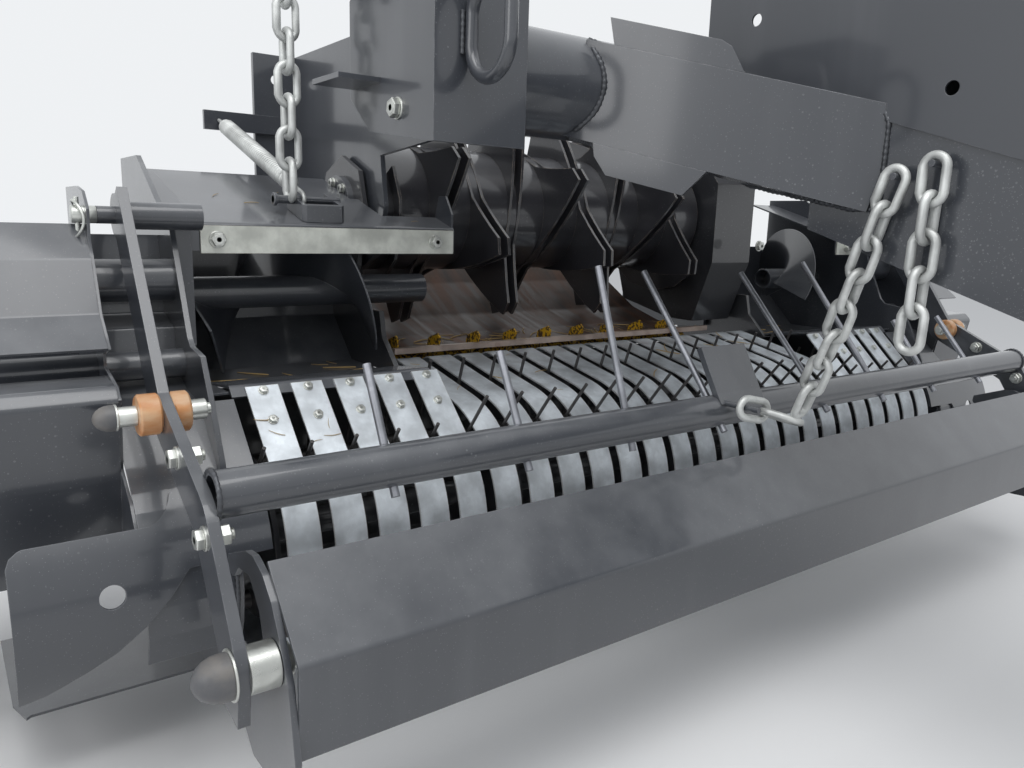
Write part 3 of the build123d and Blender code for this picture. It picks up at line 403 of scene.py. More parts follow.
bush_amber = amber_bush()
cap_grey = moulded("cap_grey", colour(84, 85, 88), 0.42, 0.5)
tyre_black = moulded("tyre_black", colour(38, 38, 39), 0.7, 0.16)
straw_gold = moulded("straw_gold", colour(190, 160, 104), 0.6, 0.1)
print("soft finishes made")

# %% [markdown]
# ## Dress the solid pieces
#
# Each solid piece keeps its mesh and only gets a finish. A table from finish to piece names is easier
# to check than fifty assignments. All pieces that it doesn't name are in the dark machine paint, also
# those that a finer piece stands for further down.

# %% Dress the solid pieces
DRESS = {
    band_zinc: ["bands_left", "bands_centre", "bands_right"],
    strip_zinc: ["cover_strips"],
    rod_zinc: ["guard_rods"],
    tine_steel: ["tine_bars"],
    inner_paint: ["reel_core", "pickup_back", "pickup_beam", "drive_case", "rear_beam", "pickup_arms"],
    rotor_paint: ["rotor_drum", "rotor_stars", "rotor_scrolls"],
    floor_steel: ["knife_floor"],
    knife_paint: ["knives"],
    bar_steel: ["floor_bar"],
}
finish_of = {name: finish for finish, names in DRESS.items() for name in names}
for name, node in nodes.items():
    finish = finish_of.get(name, frame_paint)
    node.data.materials.clear()
    node.data.materials.append(finish)
print("dressed:", len(nodes), "pieces, of which own finish:", len(finish_of))

# %% [markdown]
# ## Places in the machine's own measures
#
# Places on the machine are easiest to read in millimetres from the reel's axis: X across, Y to the rear
# and Z up. One function turns them into the frame's metres, whose origin is the bolting flange. A second
# one lays the Z axis of a turned shape across the machine, as pins, tubes and wheels need it.

# %% Machine places
FLANGE_AT = Vector((0.0, 640.0, 555.0))
BAND_PITCH = 72.0
BAND_R = 200.0
AXLE_AT = (300, -120)


def spot(x, y, z):
    """Return the frame's place for millimetres from the reel's axis."""
    return (Vector((x, y, z)) - FLANGE_AT) / 1000


def facing_x(x, y, z):
    """Return a place whose Z axis points to the right."""
    return Matrix.Translation(spot(x, y, z)) @ Matrix.Rotation(math.pi / 2, 4, "Y")


def across(place):
    """Return the mirrored place on the other side of the machine."""
    return Vector((-place.x, place.y, place.z))


print("the reel's axis is at", tuple(round(value, 3) for value in spot(0, 0, 0)))

# %% [markdown]
# ## Meshes from rings
#
# Nearly every small thing here is a row of rings joined by faces: a bolt is turned about its axis, and
# a chain link, a spring and a weld bead are tubes along a path. The shape below collects such rings.
# A tube's ring needs a steady sideways direction, so each ring takes the last one's and straightens it.


# %% Ring shapes
class Shape:
    """Corner points and faces that grow ring by ring."""

    def __init__(self):
        self.points = []
        self.faces = []

    def rings(self, rings, closed=False):
        """Join rings of equal length, and close the ends unless the row runs into itself."""
        first = len(self.points)
        sides = len(rings[0])
        for ring in rings:
            self.points.extend(ring)
        last = len(rings) if closed else len(rings) - 1
        for row in range(last):
            low = first + row * sides
            high = first + (row + 1) % len(rings) * sides
            for side in range(sides):
                after = (side + 1) % sides
                self.faces.append((low + side, low + after, high + after, high + side))
        if not closed:
            self.faces.append(tuple(first + side for side in reversed(range(sides))))
            top = first + last * sides
            self.faces.append(tuple(top + side for side in range(sides)))

    def turned(self, profile, sides, base=Matrix(), phase=0.5, closed=False):
        """Turn a profile of (radius, height) about the base's Z axis."""
        rings = []
        for radius, height in profile:
            ring = []
            for side in range(sides):
                angle = 2 * math.pi * (side + phase) / sides
                ring.append(base @ Vector((radius * math.cos(angle), radius * math.sin(angle), height)))
            rings.append(ring)
        self.rings(rings, closed)

    def tube(self, path, radius, sides=8, closed=False):
        """Draw a round tube along a path; the radius is one number or a list."""
        rings = []
        out = None
        for index, place in enumerate(path):
            before = path[index - 1] if index or closed else place
            after = path[(index + 1) % len(path)] if index + 1 < len(path) or closed else place
            along = (after - before).normalized()
            if out is None:
                out = along.orthogonal()
            out = (out - along * out.dot(along)).normalized()
            side_way = along.cross(out)
            size = radius[index] if isinstance(radius, list) else radius
            ring = []
            for side in range(sides):
                angle = 2 * math.pi * side / sides
                ring.append(place + (out * math.cos(angle) + side_way * math.sin(angle)) * size)
            rings.append(ring)
        self.rings(rings, closed)

    def made(self, name, smooth_angle=50):
        """Return the shape as an object, shaded smooth but for its sharp edges."""
        mesh = bpy.data.meshes.new(name)
        mesh.from_pydata(self.points, [], self.faces)
        body = bmesh.new()
        body.from_mesh(mesh)
        bmesh.ops.recalc_face_normals(body, faces=body.faces)
        body.to_mesh(mesh)
        body.free()
        mesh.shade_smooth()
        mesh.set_sharp_from_angle(angle=math.radians(smooth_angle))
        return placed(name, mesh)


def settle(piece, finish, body, slot, *stands_for):
    """Give a piece its finish and body, and hide the solids it stands for; the slot is not used."""
    piece.data.materials.clear()
    piece.data.materials.append(finish)
    if body:
        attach(piece, body)
    if stands_for:
        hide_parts(*stands_for)
    return piece


def painted(piece, body, *stands_for):
    """Settle a piece in the dark machine paint."""
    return settle(piece, frame_paint, body, "dark_paint", *stands_for)


print("ring shapes ready")

# %% [markdown]
# ## One node tree for all repeats
#
# Bolts, nuts, links and straws repeat the same small mesh at many places. A small Geometry Nodes
# tree does all of them: each point carries the direction of the copy's axis, a second direction and a
# size, and the tree sets one copy of the pattern on every point. The result is kept as a plain mesh.


# %% Repeat tree
POINT_VALUES = (("along", "FLOAT_VECTOR"), ("side", "FLOAT_VECTOR"), ("size", "FLOAT"))


def repeat_tree():
    """Return the node tree that copies a pattern to points, and its inputs' identifiers."""
    tree = bpy.data.node_groups.new("repeat_on_points", "GeometryNodeTree")
    tree.interface.new_socket("Points", in_out="INPUT", socket_type="NodeSocketGeometry")
    words = {}
    for name, kind in (("Pattern", "NodeSocketObject"), ("Finish", "NodeSocketMaterial")):
        words[name] = tree.interface.new_socket(name, in_out="INPUT", socket_type=kind).identifier
    tree.interface.new_socket("Copies", in_out="OUTPUT", socket_type="NodeSocketGeometry")
    made = {}
    for name, kind in (("start", "NodeGroupInput"), ("pattern", "GeometryNodeObjectInfo"),
                       ("turn", "FunctionNodeAxesToRotation"), ("copy", "GeometryNodeInstanceOnPoints"),
                       ("real", "GeometryNodeRealizeInstances"), ("paint", "GeometryNodeSetMaterial"),
                       ("end", "NodeGroupOutput")):
        made[name] = tree.nodes.new(kind)
    made["turn"].primary_axis = "Z"
    made["turn"].secondary_axis = "X"
    for name, kind in POINT_VALUES:
        made[name] = tree.nodes.new("GeometryNodeInputNamedAttribute")
        made[name].data_type = kind
        made[name].inputs["Name"].default_value = name
    for source, output, target, entry in (
            ("start", "Points", "copy", "Points"), ("start", "Pattern", "pattern", "Object"),
            ("pattern", "Geometry", "copy", "Instance"), ("along", "Attribute", "turn", 0),
            ("side", "Attribute", "turn", 1), ("turn", 0, "copy", "Rotation"),
            ("size", "Attribute", "copy", "Scale"), ("copy", "Instances", "real", "Geometry"),
            ("real", "Geometry", "paint", "Geometry"), ("start", "Finish", "paint", "Material"),
            ("paint", "Geometry", "end", 0)):
        tree.links.new(made[source].outputs[output], made[target].inputs[entry])
    return tree, words


REPEAT, REPEAT_INPUTS = repeat_tree()


def repeated(name, pattern, places, finish, body=None, slot="chain"):
    """Return one mesh of pattern copies; a place is (point, axis, second direction, size).

    Without a body, the piece is attached to none.
    """
    mesh = bpy.data.meshes.new(name + "_points")
    mesh.from_pydata([place[0] for place in places], [], [])
    for index, (word, kind) in enumerate(POINT_VALUES):
        values = mesh.attributes.new(word, kind, "POINT").data
        for value, place in zip(values, places):
            if kind == "FLOAT":
                value.value = place[index + 1]
            else:
                value.vector = place[index + 1]
    carrier = placed(name + "_carrier", mesh)
    modifier = carrier.modifiers.new("repeat", "NODES")
    modifier.node_group = REPEAT
    modifier[REPEAT_INPUTS["Pattern"]] = pattern
    modifier[REPEAT_INPUTS["Finish"]] = finish
    bpy.context.view_layer.update()
    seen = carrier.evaluated_get(bpy.context.evaluated_depsgraph_get())
    copies = bpy.data.meshes.new_from_object(seen)
    bpy.data.objects.remove(carrier)
    piece = placed(name, copies)
    print(name + ":", len(places), "copies,", len(copies.polygons), "faces")
    return settle(piece, finish, body, slot)


# %% [markdown]
# ## Bolts
#
# One hexagon head on its washer serves every bolt. It is drawn for a thread of one unit, so a bolt's size
# in the table is its thread. The nut is drawn the same way, with the end of the thread standing out.

# %% Bolt pattern
def bolt_pattern():
    """Return a hexagon bolt head on its washer, for a thread of one unit."""
    shape = Shape()
    shape.turned([(1.05, -0.02), (1.05, 0.13), (1.0, 0.17), (0.62, 0.17)], 28)
    shape.turned([(0.78, 0.16), (0.9, 0.2), (0.92, 0.24), (0.92, 0.74), (0.84, 0.82), (0.5, 0.83)], 6)
    shape.turned([(0.62, 0.81), (0.62, 0.835), (0.5, 0.85), (0.3, 0.83)], 20)
    return shape.made("bolt_pattern", 28)


def nut_pattern():
    """Return a hexagon nut on its washer with the thread's end standing out, for one unit."""
    shape = Shape()
    shape.turned([(1.05, -0.02), (1.05, 0.13), (1.0, 0.17), (0.62, 0.17)], 28)
    shape.turned([(0.8, 0.16), (0.92, 0.22), (0.92, 0.9), (0.82, 0.98), (0.5, 0.98)], 6)
    thread = [(0.5 - 0.05 * (step % 2), 0.96 + step * 0.035) for step in range(10)]
    shape.turned(thread + [(0.42, 1.32)], 20)
    return shape.made("nut_pattern", 28)


BOLT = bolt_pattern()
NUT = nut_pattern()
print("bolt and nut patterns made")

# %% [markdown]
# ## Where the bolts sit
#
# A row of the first table is one bolt, and a row of the second is a circle of them, as on a wheel hub.
# Each is set on both sides of the machine. The two rows on the outer guide bands follow from the band's
# straight stretch, so they land on the sheet whatever its angle. The nuts face the bolts through the
# guard's arm.

# %% Bolt places
BAND_TURN = 133.5
SIDE_TANGENT = math.radians(BAND_TURN)
BAND_OUT = Vector((0, math.cos(SIDE_TANGENT), math.sin(SIDE_TANGENT)))
BAND_UP = Vector((0, math.sin(SIDE_TANGENT), -math.cos(SIDE_TANGENT)))
BAND_BOLT_RUNS = (85.0, 140.0)
BAND_BOLT_SIZE = 0.0076
OUTER_BANDS = [index for index in range(-12, 13) if abs(index) >= 8]

# Body, thread in mm, place in machine millimetres, direction; each is also set on the other side
TWIN_BOLTS = [
    ("pickup", 13, (-886, 94, 466), (0, -1, 0)),
    ("pickup", 13, (-484, 94, 466), (0, -1, 0)),
    ("crop_guard", 14, (-1040, -236, 212), (-1, 0, 0)),
    ("crop_guard", 14, (-1040, -345, 146), (-1, 0, 0)),
    ("chassis", 16, (-670, -107, 670), (-1, 0, 0)),
]
# Body, thread, circle's radius, count, centre, direction
BOLT_CIRCLES = [
    ("chassis", 10, 47, 6, (-575, 340, 530), (-1, 0, 0)),
    ("left_wheel", 12, 62, 5, (-1374, *AXLE_AT), (-1, 0, 0)),
]


def bolt_places():
    """Return the bolts of each body, from the tables and the band's straight stretch."""
    found = {}
    for index in OUTER_BANDS:
        for run in BAND_BOLT_RUNS:
            place = spot(index * BAND_PITCH, 0, 0) + BAND_OUT * (BAND_R / 1000) + BAND_UP * (run / 1000)
            found.setdefault("pickup", []).append((place, BAND_OUT, BAND_UP, BAND_BOLT_SIZE))
    for body, thread, place, facing in TWIN_BOLTS:
        for sign in (1, -1):
            way = Vector((sign * facing[0], facing[1], facing[2]))
            at = spot(sign * place[0], place[1], place[2])
            found.setdefault(body, []).append((at, way, Vector((0, 0.3, 1)), thread / 1000))
    for body, thread, radius, count, centre, facing in BOLT_CIRCLES:
        for sign in (1, -1):
            owner = body.replace("left", "right") if sign < 0 else body
            for step in range(count):
                angle = 2 * math.pi * (step + 0.25) / count
                at = spot(sign * centre[0], centre[1] + radius * math.cos(angle),
                          centre[2] + radius * math.sin(angle))
                way = Vector((sign * facing[0], 0, 0))
                found.setdefault(owner, []).append((at, way, Vector((0, 0.2, 1)), thread / 1000))
    return found


for body, places in bolt_places().items():
    repeated("bolts_" + body, BOLT, places, bolt_zinc, body, "zinc")

NUT_PLACES = [
    (spot(-1026, -236, 212), Vector((1, 0, 0)), Vector((0, 0.3, 1)), 0.014),
    (spot(-1026, -345, 146), Vector((1, 0, 0)), Vector((0, 0.3, 1)), 0.014),
]
NUT_PLACES += [(across(at), -way, side, size) for at, way, side, size in NUT_PLACES]
repeated("nuts_crop_guard", NUT, NUT_PLACES, bolt_zinc, "crop_guard", "zinc")
print("nuts on the guard's arms:", len(NUT_PLACES))

# %% [markdown]
# ## Plates and folded sheets
#
# The pickup's outer sheet metal is drawn here in more detail than its solids have. A flat plate is an
# outline drawn along X, and a folded sheet is a path with rounded corners, thickened to both sides.
# Left pieces are drawn once and copied over to the right. Holes are cut with a Boolean modifier.


# %% Plate tools
def plate(shape, outline, low, high):
    """Add a flat plate: a (y, z) outline in millimetres between two places across the machine."""
    shape.rings([[spot(x, y, z) for y, z in outline] for x in (low, high)])


def rounded(path, radius, steps=5):
    """Return a (y, z) path with its inner corners turned into arcs."""
    points = [Vector(point) for point in path]
    made = [points[0]]
    for before, corner, after in zip(points, points[1:], points[2:]):
        back = (before - corner).normalized()
        ahead = (after - corner).normalized()
        half = back.angle(ahead) / 2
        reach = min(radius / math.tan(half), 0.45 * (before - corner).length, 0.45 * (after - corner).length)
        start = corner + back * reach
        end = corner + ahead * reach
        for step in range(steps + 1):
            share = step / steps
            made.append(start * (1 - share) ** 2 + corner * 2 * share * (1 - share) + end * share ** 2)
    return made + [points[-1]]


def folded(shape, path, radius, thickness, low, high):
    """Add a folded sheet along a (y, z) path, between two places across the machine."""
    line = rounded(path, radius)
    left, right = [], []
    for index, point in enumerate(line):
        before = line[max(0, index - 1)]
        after = line[min(len(line) - 1, index + 1)]
        along = (after - before).normalized()
        out = Vector((-along.y, along.x)) * (thickness / 2)
        left.append(tuple(point + out))
        right.append(tuple(point - out))
    plate(shape, left + right[::-1], low, high)


def with_holes(piece, holes):
    """Cut round holes along X or Y; a hole is (x, y, z, radius, depth, axis)."""
    for x, y, z, radius, depth, axis in holes:
        cutter_shape = Shape()
        turn = Matrix.Rotation(math.pi / 2, 4, "Y" if axis == "X" else "X")
        base = Matrix.Translation(spot(x, y, z)) @ turn
        cutter_shape.turned([(radius / 1000, -depth / 2000), (radius / 1000, depth / 2000)], 36, base)
        cutter = cutter_shape.made("cutter")
        modifier = piece.modifiers.new("hole", "BOOLEAN")
        modifier.operation = "DIFFERENCE"
        modifier.object = cutter
        bpy.context.view_layer.update()
        seen = piece.evaluated_get(bpy.context.evaluated_depsgraph_get())
        cut = bpy.data.meshes.new_from_object(seen)
        piece.modifiers.clear()
        piece.data = cut
        bpy.data.objects.remove(cutter)
    piece.data.set_sharp_from_angle(angle=math.radians(40))
    return piece


def both_sides(piece):
    """Add the mirror image of a left-hand piece to its mesh."""
    body = bmesh.new()
    body.from_mesh(piece.data)
    twin = bmesh.ops.duplicate(body, geom=body.verts[:] + body.edges[:] + body.faces[:])["geom"]
    for part in twin:
        if isinstance(part, bmesh.types.BMVert):
            part.co.x = -part.co.x
    bmesh.ops.reverse_faces(body, faces=[part for part in twin if isinstance(part, bmesh.types.BMFace)])
    body.to_mesh(piece.data)
    body.free()
    return piece


print("plate tools ready")

# %% [markdown]
# ## Side plates and shields
#
# Outside each side plate stand two small shields on a wall of their own, and the crop guard's arm swings
# in the slot between that wall and the plate. A short tube joins the wall to the guard's pivot. The front
# edges are traced as tables of points, and the arcs about the reel's axis come from one small function.

# %% Side plates and shields
SIDE_IN = 952.0
SIDE_OUT = 960.0
SHEETS_END = 912.0
ROLL_IN = 910.0
ROLL_OUT = 1225.0
SHIELD_OUT = 1240.0
SHIELD_WALL = 1080.0
SHEET_T = 4.0


def polar(radius, degrees):
    """Return the (y, z) point on a circle about the reel's axis."""
    return (radius * math.cos(math.radians(degrees)), radius * math.sin(math.radians(degrees)))


SIDE_FRONT = [(-139, 84), (-131, 163), (-90, 245), (-55, 304), (-2, 311), (12, 324), (91, 492), (114, 499),
              (168, 525), (290, 600), (420, 600)]
shape = Shape()
side_nose = [polar(194, turn) for turn in (255, 240, 225, 210, 195, 180, 168)]
plate(shape, [(420, -90), (340, -200), (0, -200)] + side_nose + SIDE_FRONT, -SIDE_OUT, -SIDE_IN)
side_plate = with_holes(shape.made("side_plate_sheets"), [(-956, 235, 368, 18.5, 40, "X")])
shape = Shape()
plate(shape, [(92, 298), (96, 298), (96, 488), (92, 488)], -SIDE_IN, -926)
hub = [(0.052, -0.012), (0.052, 0.002), (0.034, 0.006), (0.034, 0.031), (0.03, 0.033)]
shape.turned(hub, 36, facing_x(-SIDE_IN + 1, 0, 0))
painted(both_sides(side_plate), "pickup", "side_plates")
painted(both_sides(shape.made("side_plate_flanges")), "pickup")

# Each shield's bend radius and folded path, and the front edge of the wall that carries both
SHIELDS = [(10, [(68, 485), (21, 438), (-12, 365), (-63, 324)]),
           (12, [(-24, 280), (-96, 279), (-112, 264), (-92, 150), (-77, 86), (-60, 14)])]
WALL_FRONT = [(110, 540), (60, 532), (32, 508), (38, 466), (20, 438), (-13, 366), (-63, 324), (-20, 312),
              (-20, 294), (-96, 279), (-112, 264), (-92, 165)]
shape = Shape()
for bend, shield_path in SHIELDS:
    folded(shape, shield_path, bend, SHEET_T, -SHIELD_OUT, -SHIELD_WALL)
wall_foot = [polar(192, turn) for turn in (137, 143, 150, 155)]
wall_foot += [polar(195.6, turn) for turn in (160, 170, 180)]
plate(shape, WALL_FRONT + wall_foot + [(-60, 0), (180, 190), (210, 300), (210, 540)],
      -SHIELD_WALL, -SHIELD_WALL + SHEET_T)
sleeve = [(0.028, 0.0), (0.033, 0.0), (0.033, 0.116), (0.028, 0.116)]
shape.turned(sleeve, 40, facing_x(-SHIELD_WALL + SHEET_T, 95, 403))
painted(both_sides(shape.made("shield_sheets")), "pickup")
print("side plates and shields made")

# %% [markdown]
# ## Rolled guards and the sheets beside the bands
#
# A rolled guard is the same cylinder as the guide bands, so it could be a tube cut by a Boolean. Its lower
# edge sweeps up towards the bands, though, and rings between two edge tables follow that in clean rows.
# The skid lies flat under it. The fillers beside the bands, the sheet at the back of the arm's slot and
# the ends of the pickup's sheets are folded.

# %% Rolled guards
# Lower and upper edge of the rolled sheet: place across the machine and height
ROLL_LOW = [(-1225, -92), (-1195, -86), (-1153, -66), (-1114, -45), (-1079, -17), (-1047, 16), (-1022, 48),
            (-905, 50)]
ROLL_HIGH = [(-1225, 88), (-1221, 98), (-1209, 106), (-1062, 106), (-1050, 112), (-1038, 124), (-1030, 143),
             (-905, 143)]


def between(table, x):
    """Return the height at a place across, straight between a table's rows."""
    for (x_low, low), (x_high, high) in zip(table, table[1:]):
        if x <= x_high:
            return low + (high - low) * (x - x_low) / (x_high - x_low)
    return table[-1][1]


def roll_section(x):
    """Return the rolled sheet's ring at a place across: its outer arc and back along the inner."""
    start = math.pi + math.asin(-between(ROLL_LOW, x) / BAND_R)
    end = math.pi - math.asin(between(ROLL_HIGH, x) / BAND_R)
    turns = [start + (end - start) * step / 20 for step in range(21)]
    inside = BAND_R - SHEET_T
    ring = [spot(x, BAND_R * math.cos(turn), BAND_R * math.sin(turn)) for turn in turns]
    return ring + [spot(x, inside * math.cos(turn), inside * math.sin(turn)) for turn in reversed(turns)]


shape = Shape()
places = [ROLL_OUT - step * (ROLL_OUT - ROLL_IN) / 70 for step in range(71)]
shape.rings([roll_section(-x) for x in places])
roll = both_sides(with_holes(shape.made("rolled_guard_sheets", 40), [(-1116, -197, 32, 15.4, 60, "Y")]))
painted(roll, "pickup", "rolled_guards")
shape = Shape()
skid = [(-ROLL_IN, -17), (-1205, -17), (-1211, -22), (-1224, 23), (-1224, 240), (-ROLL_IN, 240)]
shape.rings([[spot(x, y, z) for x, y in skid] for z in (-204, -200)])
painted(both_sides(shape.made("skid_plates")), "pickup")
shape = Shape()
filler = [polar(194, turn) for turn in (165, 158, 151, 144, 137, BAND_TURN)]
tangent = Vector(polar(194, BAND_TURN)) + Vector((BAND_UP.y, BAND_UP.z)) * 133
folded(shape, filler + [tuple(tangent)], 4, 3.0, -SIDE_IN, -ROLL_IN)
painted(both_sides(shape.made("band_fillers")), "pickup")
# The sheet at the back of the arm's slot runs under and behind the wheel stub and the sleeve above it
slot_path = [polar(193, turn) for turn in (206, 193, 180, 168, 160, 151, 142, BAND_TURN)]
slot_path += [(-37, 232), (30, 240), (80, 262), (90, 330), (150, 345), (160, 470)]
shape = Shape()
folded(shape, slot_path, 6, 3.0, -SHIELD_WALL + SHEET_T, -SIDE_OUT)
painted(both_sides(shape.made("slot_sheets")), "pickup")
shape = Shape()
for path, sheet_t in (([(100, 448), (100, 490), (399, 582)], 4.0),
                      ([(-25, 240), (90, 234), (165, 214), (300, 214), (392, 300), (392, 455)], 4.0),
                      ([(306, 184), (306, -195)], 5.0)):
    folded(shape, path, 8, sheet_t, -SIDE_IN, -SHEETS_END)
plate(shape, [(309, -70), (388, -70), (388, 10), (309, 10)], -SIDE_IN, -SHEETS_END)
painted(both_sides(shape.made("sheet_ends")), "pickup")
print("rolled guards, skids, fillers and sheet ends made")

# %% [markdown]
# ## Gauge wheel arms
#
# Each gauge wheel hangs on a flat arm at the end of a round stub that comes out between the two shields.

# %% Gauge wheel arms
shape = Shape()
shape.turned([(0.022, 0.0), (0.022, 0.33)], 40, facing_x(-1290, 43, 281))
shape.turned([(0.015, 0.0), (0.015, 0.124)], 32, facing_x(-1426, *AXLE_AT))
ARM_OUTLINE = [(15, 318), (2, 250), (262, -150), (338, -150), (338, -90), (88, 306), (15, 318)]
plate(shape, rounded(ARM_OUTLINE, 24)[:-1], -1302, -1290)
painted(both_sides(shape.made("wheel_arm_sheets", 40)), "pickup", "wheel_arms")
print("wheel arms made")

# %% [markdown]
# ## Deflector
#
# The deflector is one folded sheet between two end flanges. Each flange runs up over the pin in a horn,
# which shows as a thin sickle against the guard's arm.

# %% Deflector
DEFLECTOR_HALF = 992.0
HORN_T = 8
DEFLECTOR_T = 5
HORN = [(-265, 88), (-334, 116), (-360, 119.5), (-393, 109), (-420, 86), (-442, 52), (-466, 4), (-481, -81),
        (-474, -118), (-440, -148), (-372, -152), (-335, -155), (-288, -115), (-311, -60), (-360, -5),
        (-392, 14), (-378, 57), (-346, 90), (-306, 84), (-281, 61), (-262, 71)]
shape = Shape()
horn_outline = rounded(HORN + [HORN[0]], 12, 3)[:-1]
plate(shape, horn_outline, -DEFLECTOR_HALF, -DEFLECTOR_HALF + HORN_T)
horn = both_sides(with_holes(shape.made("deflector_horns", 40), [(-988, -427, 18, 12.8, 40, "X")]))
shape = Shape()
folded(shape, [(-387, 120), (-476, 31), (-470, -84)], 10, DEFLECTOR_T,
       HORN_T - DEFLECTOR_HALF, DEFLECTOR_HALF - HORN_T)
fold = shape.made("deflector_sheet", 60)
painted(horn, "deflector_plate")
painted(fold, "deflector_plate", "deflector")
print("deflector made")

# %% [markdown]
# ## Caps, pins and washers
#
# The guard's pins end in domed caps of grey plastic, over a zinc washer. The deflector turns on a plated
# sleeve, and amber rings sit on both faces of the guard's arm. The solids have pin and cap in one, so
# both are drawn again here on the same axes, each in its own finish.

# %% Caps and pins
DOME = [(26.0, 0.0), (26.0, 9.0), (25.0, 17.0), (22.0, 25.0), (17.0, 32.0), (10.0, 37.0), (3.0, 39.5)]


def dome_at(shape, x, y, z, scale):
    """Add a domed cap on a face at x, bulging to the left."""
    base = Matrix.Translation(spot(x, y, z)) @ Matrix.Rotation(-math.pi / 2, 4, "Y")
    shape.turned([(radius * scale / 1000, height * scale / 1000) for radius, height in DOME], 40, base)


def pin_at(shape, low, high, y, z, radius, lip=0.6):
    """Add a turned pin with broken edges between two places across the machine."""
    reach = (high - low) / 1000
    lip /= 1000
    radius /= 1000
    profile = [(radius - lip, 0), (radius, lip), (radius, reach - lip), (radius - lip, reach)]
    shape.turned(profile, 40, facing_x(low, y, z))


PIN_AT = (-427, 18)
BUSH_AT = (-153, 251)
# Places across the machine, radius and broken edge of each round piece on the two axes
DEFLECTOR_PIN = [(-1043, -968, 12.4), (-1043, -1040, 29), (-1026, -992.4, 27), (-984, -976, 20)]
BUSH_BOLT = [(-1093, -976, 8), (-1093, -1090, 17), (-1090, -1067, 13), (-1004, -982, 14)]
BUSH_RINGS = [(-1067, -1040, 27, 2.5), (-1026, -1004, 27, 2.5)]
for name, at, rods, finish, slot, node in (
        ("deflector_pin_steel", PIN_AT, DEFLECTOR_PIN, bolt_zinc, "zinc", "deflector_pins"),
        ("bush_bolt_steel", BUSH_AT, BUSH_BOLT, bolt_zinc, "zinc", "bush_bolts"),
        ("bush_blocks", BUSH_AT, BUSH_RINGS, bush_amber, "bush", "guard_bushes")):
    shape = Shape()
    for low, high, *size in rods:
        pin_at(shape, low, high, *at, *size)
    settle(both_sides(shape.made(name, 40)), finish, "crop_guard", slot, node)
for name, x, at, scale in (("pin_caps", -1043, PIN_AT, 1.0), ("bush_caps", -1093, BUSH_AT, 0.64)):
    shape = Shape()
    dome_at(shape, x, *at, scale)
    settle(both_sides(shape.made(name)), cap_grey, "crop_guard", "dark_paint")
print("caps and pins made")

# %% [markdown]
# ## Drawbar gussets and lashing ring
#
# Thick plates above and below each leg stiffen its weld to the cross tube. They lie in the plane of the
# leg's outer face, so they're drawn in the leg's own measures: along it, and across its height. The
# lashing ring is a round bar along a long oval, whose halves are shifted apart by a fixed amount.

# %% Gussets and lashing ring
LEG_ROOT = Vector((-300.0, -110.0, 730.0))
LEG_NOSE = Vector((-35.0, -518.0, 613.66))
LEG_RUN = (LEG_NOSE - LEG_ROOT).normalized()
LEG_OUT = LEG_RUN.cross(Vector((0, 0, 1))).normalized()
LEG_RISE = LEG_OUT.cross(LEG_RUN)


def leg_point(along, height, out):
    """Return a place given along the leg, across its height and out from its middle."""
    return spot(*(LEG_ROOT + LEG_RUN * along + LEG_RISE * height + LEG_OUT * out))


GUSSETS = [
    [(48, 77.6), (30, 117), (214, 117), (232, 111), (263, 77.6)],
    [(56, -77.6), (64, -98), (92, -123), (225, -123), (252, -77.6)],
]
shape = Shape()
for outline in GUSSETS:
    shape.rings([[leg_point(along, height, out) for along, height in outline] for out in (67.5, 77.5)])
painted(both_sides(shape.made("gusset_plates")), "chassis", "leg_gussets")

RING_AT = (-615.0, -270.3, 767.0)
RING_BEND = 47.5
RING_SHIFT = 18
RING_BAR_R = 0.0095
oval = []
for step in range(48):
    angle = 2 * math.pi * (step + 0.5) / 48
    shift = RING_SHIFT if math.sin(angle) > 0 else -RING_SHIFT
    out, up = RING_BEND * math.cos(angle), RING_BEND * math.sin(angle)
    oval.append(spot(RING_AT[0], RING_AT[1] + out, RING_AT[2] + shift + up))
shape = Shape()
shape.tube(oval, RING_BAR_R, 14, closed=True)
painted(shape.made("lashing_ring_bar"), "chassis", "lashing_ring")
print("gussets and lashing ring made")

# %% [markdown]
# ## Chains
#
# A chain hangs as a row of links, each turned a quarter from the last. The routes are the same points as
# the solid chain's, so the round links land where the plain ones were. Two chains run from the drawbar
# to the pickup, and their links are attached to neither body. The tail of the guard chain hangs from the
# drawbar alone.

# %% Chain routes
LINK_WIRE = 13.0
LINK_LENGTH = 79.0
LINK_WIDTH = 46.0
LINK_PITCH = 52.4
GUARD_CHAIN_ROUTE = [(-124, -595, 593), (-124, -580, 545), (-122, -552, 450), (-104, -505, 325),
                     (-86, -458, 222), (-96, -424, 192), (-118, -396, 200), (-150, -392, 207)]
TAIL_CHAIN_ROUTE = [(-124, -648, 609), (-124, -648, 560), (-124, -642, 300)]
LIFT_CHAIN_X = -743.0
LIFT_CHAIN_Y = 150.0
# The middle of the lowest link: its inner bend lies 1.2 mm under the bar of the solid's eye, at 542 mm
LIFT_CHAIN_LOW = 542 + LINK_LENGTH / 2 - LINK_WIRE - 1.2


def link_pattern():
    """Return one welded chain link, its length along Z and its width along X."""
    shape = Shape()
    bend = (LINK_WIDTH - LINK_WIRE) / 2
    half = (LINK_LENGTH - LINK_WIDTH) / 2
    path = []
    for step in range(28):
        angle = 2 * math.pi * (step + 0.5) / 28
        shift = half if math.cos(angle) > 0 else -half
        path.append(Vector((bend * math.sin(angle), 0, shift + bend * math.cos(angle))) / 1000)
    radii = [LINK_WIRE / 2000] * 28
    radii[6] = radii[7] = LINK_WIRE / 2000 * 1.12
    shape.tube(path, radii, 12, closed=True)
    return shape.made("link_pattern")


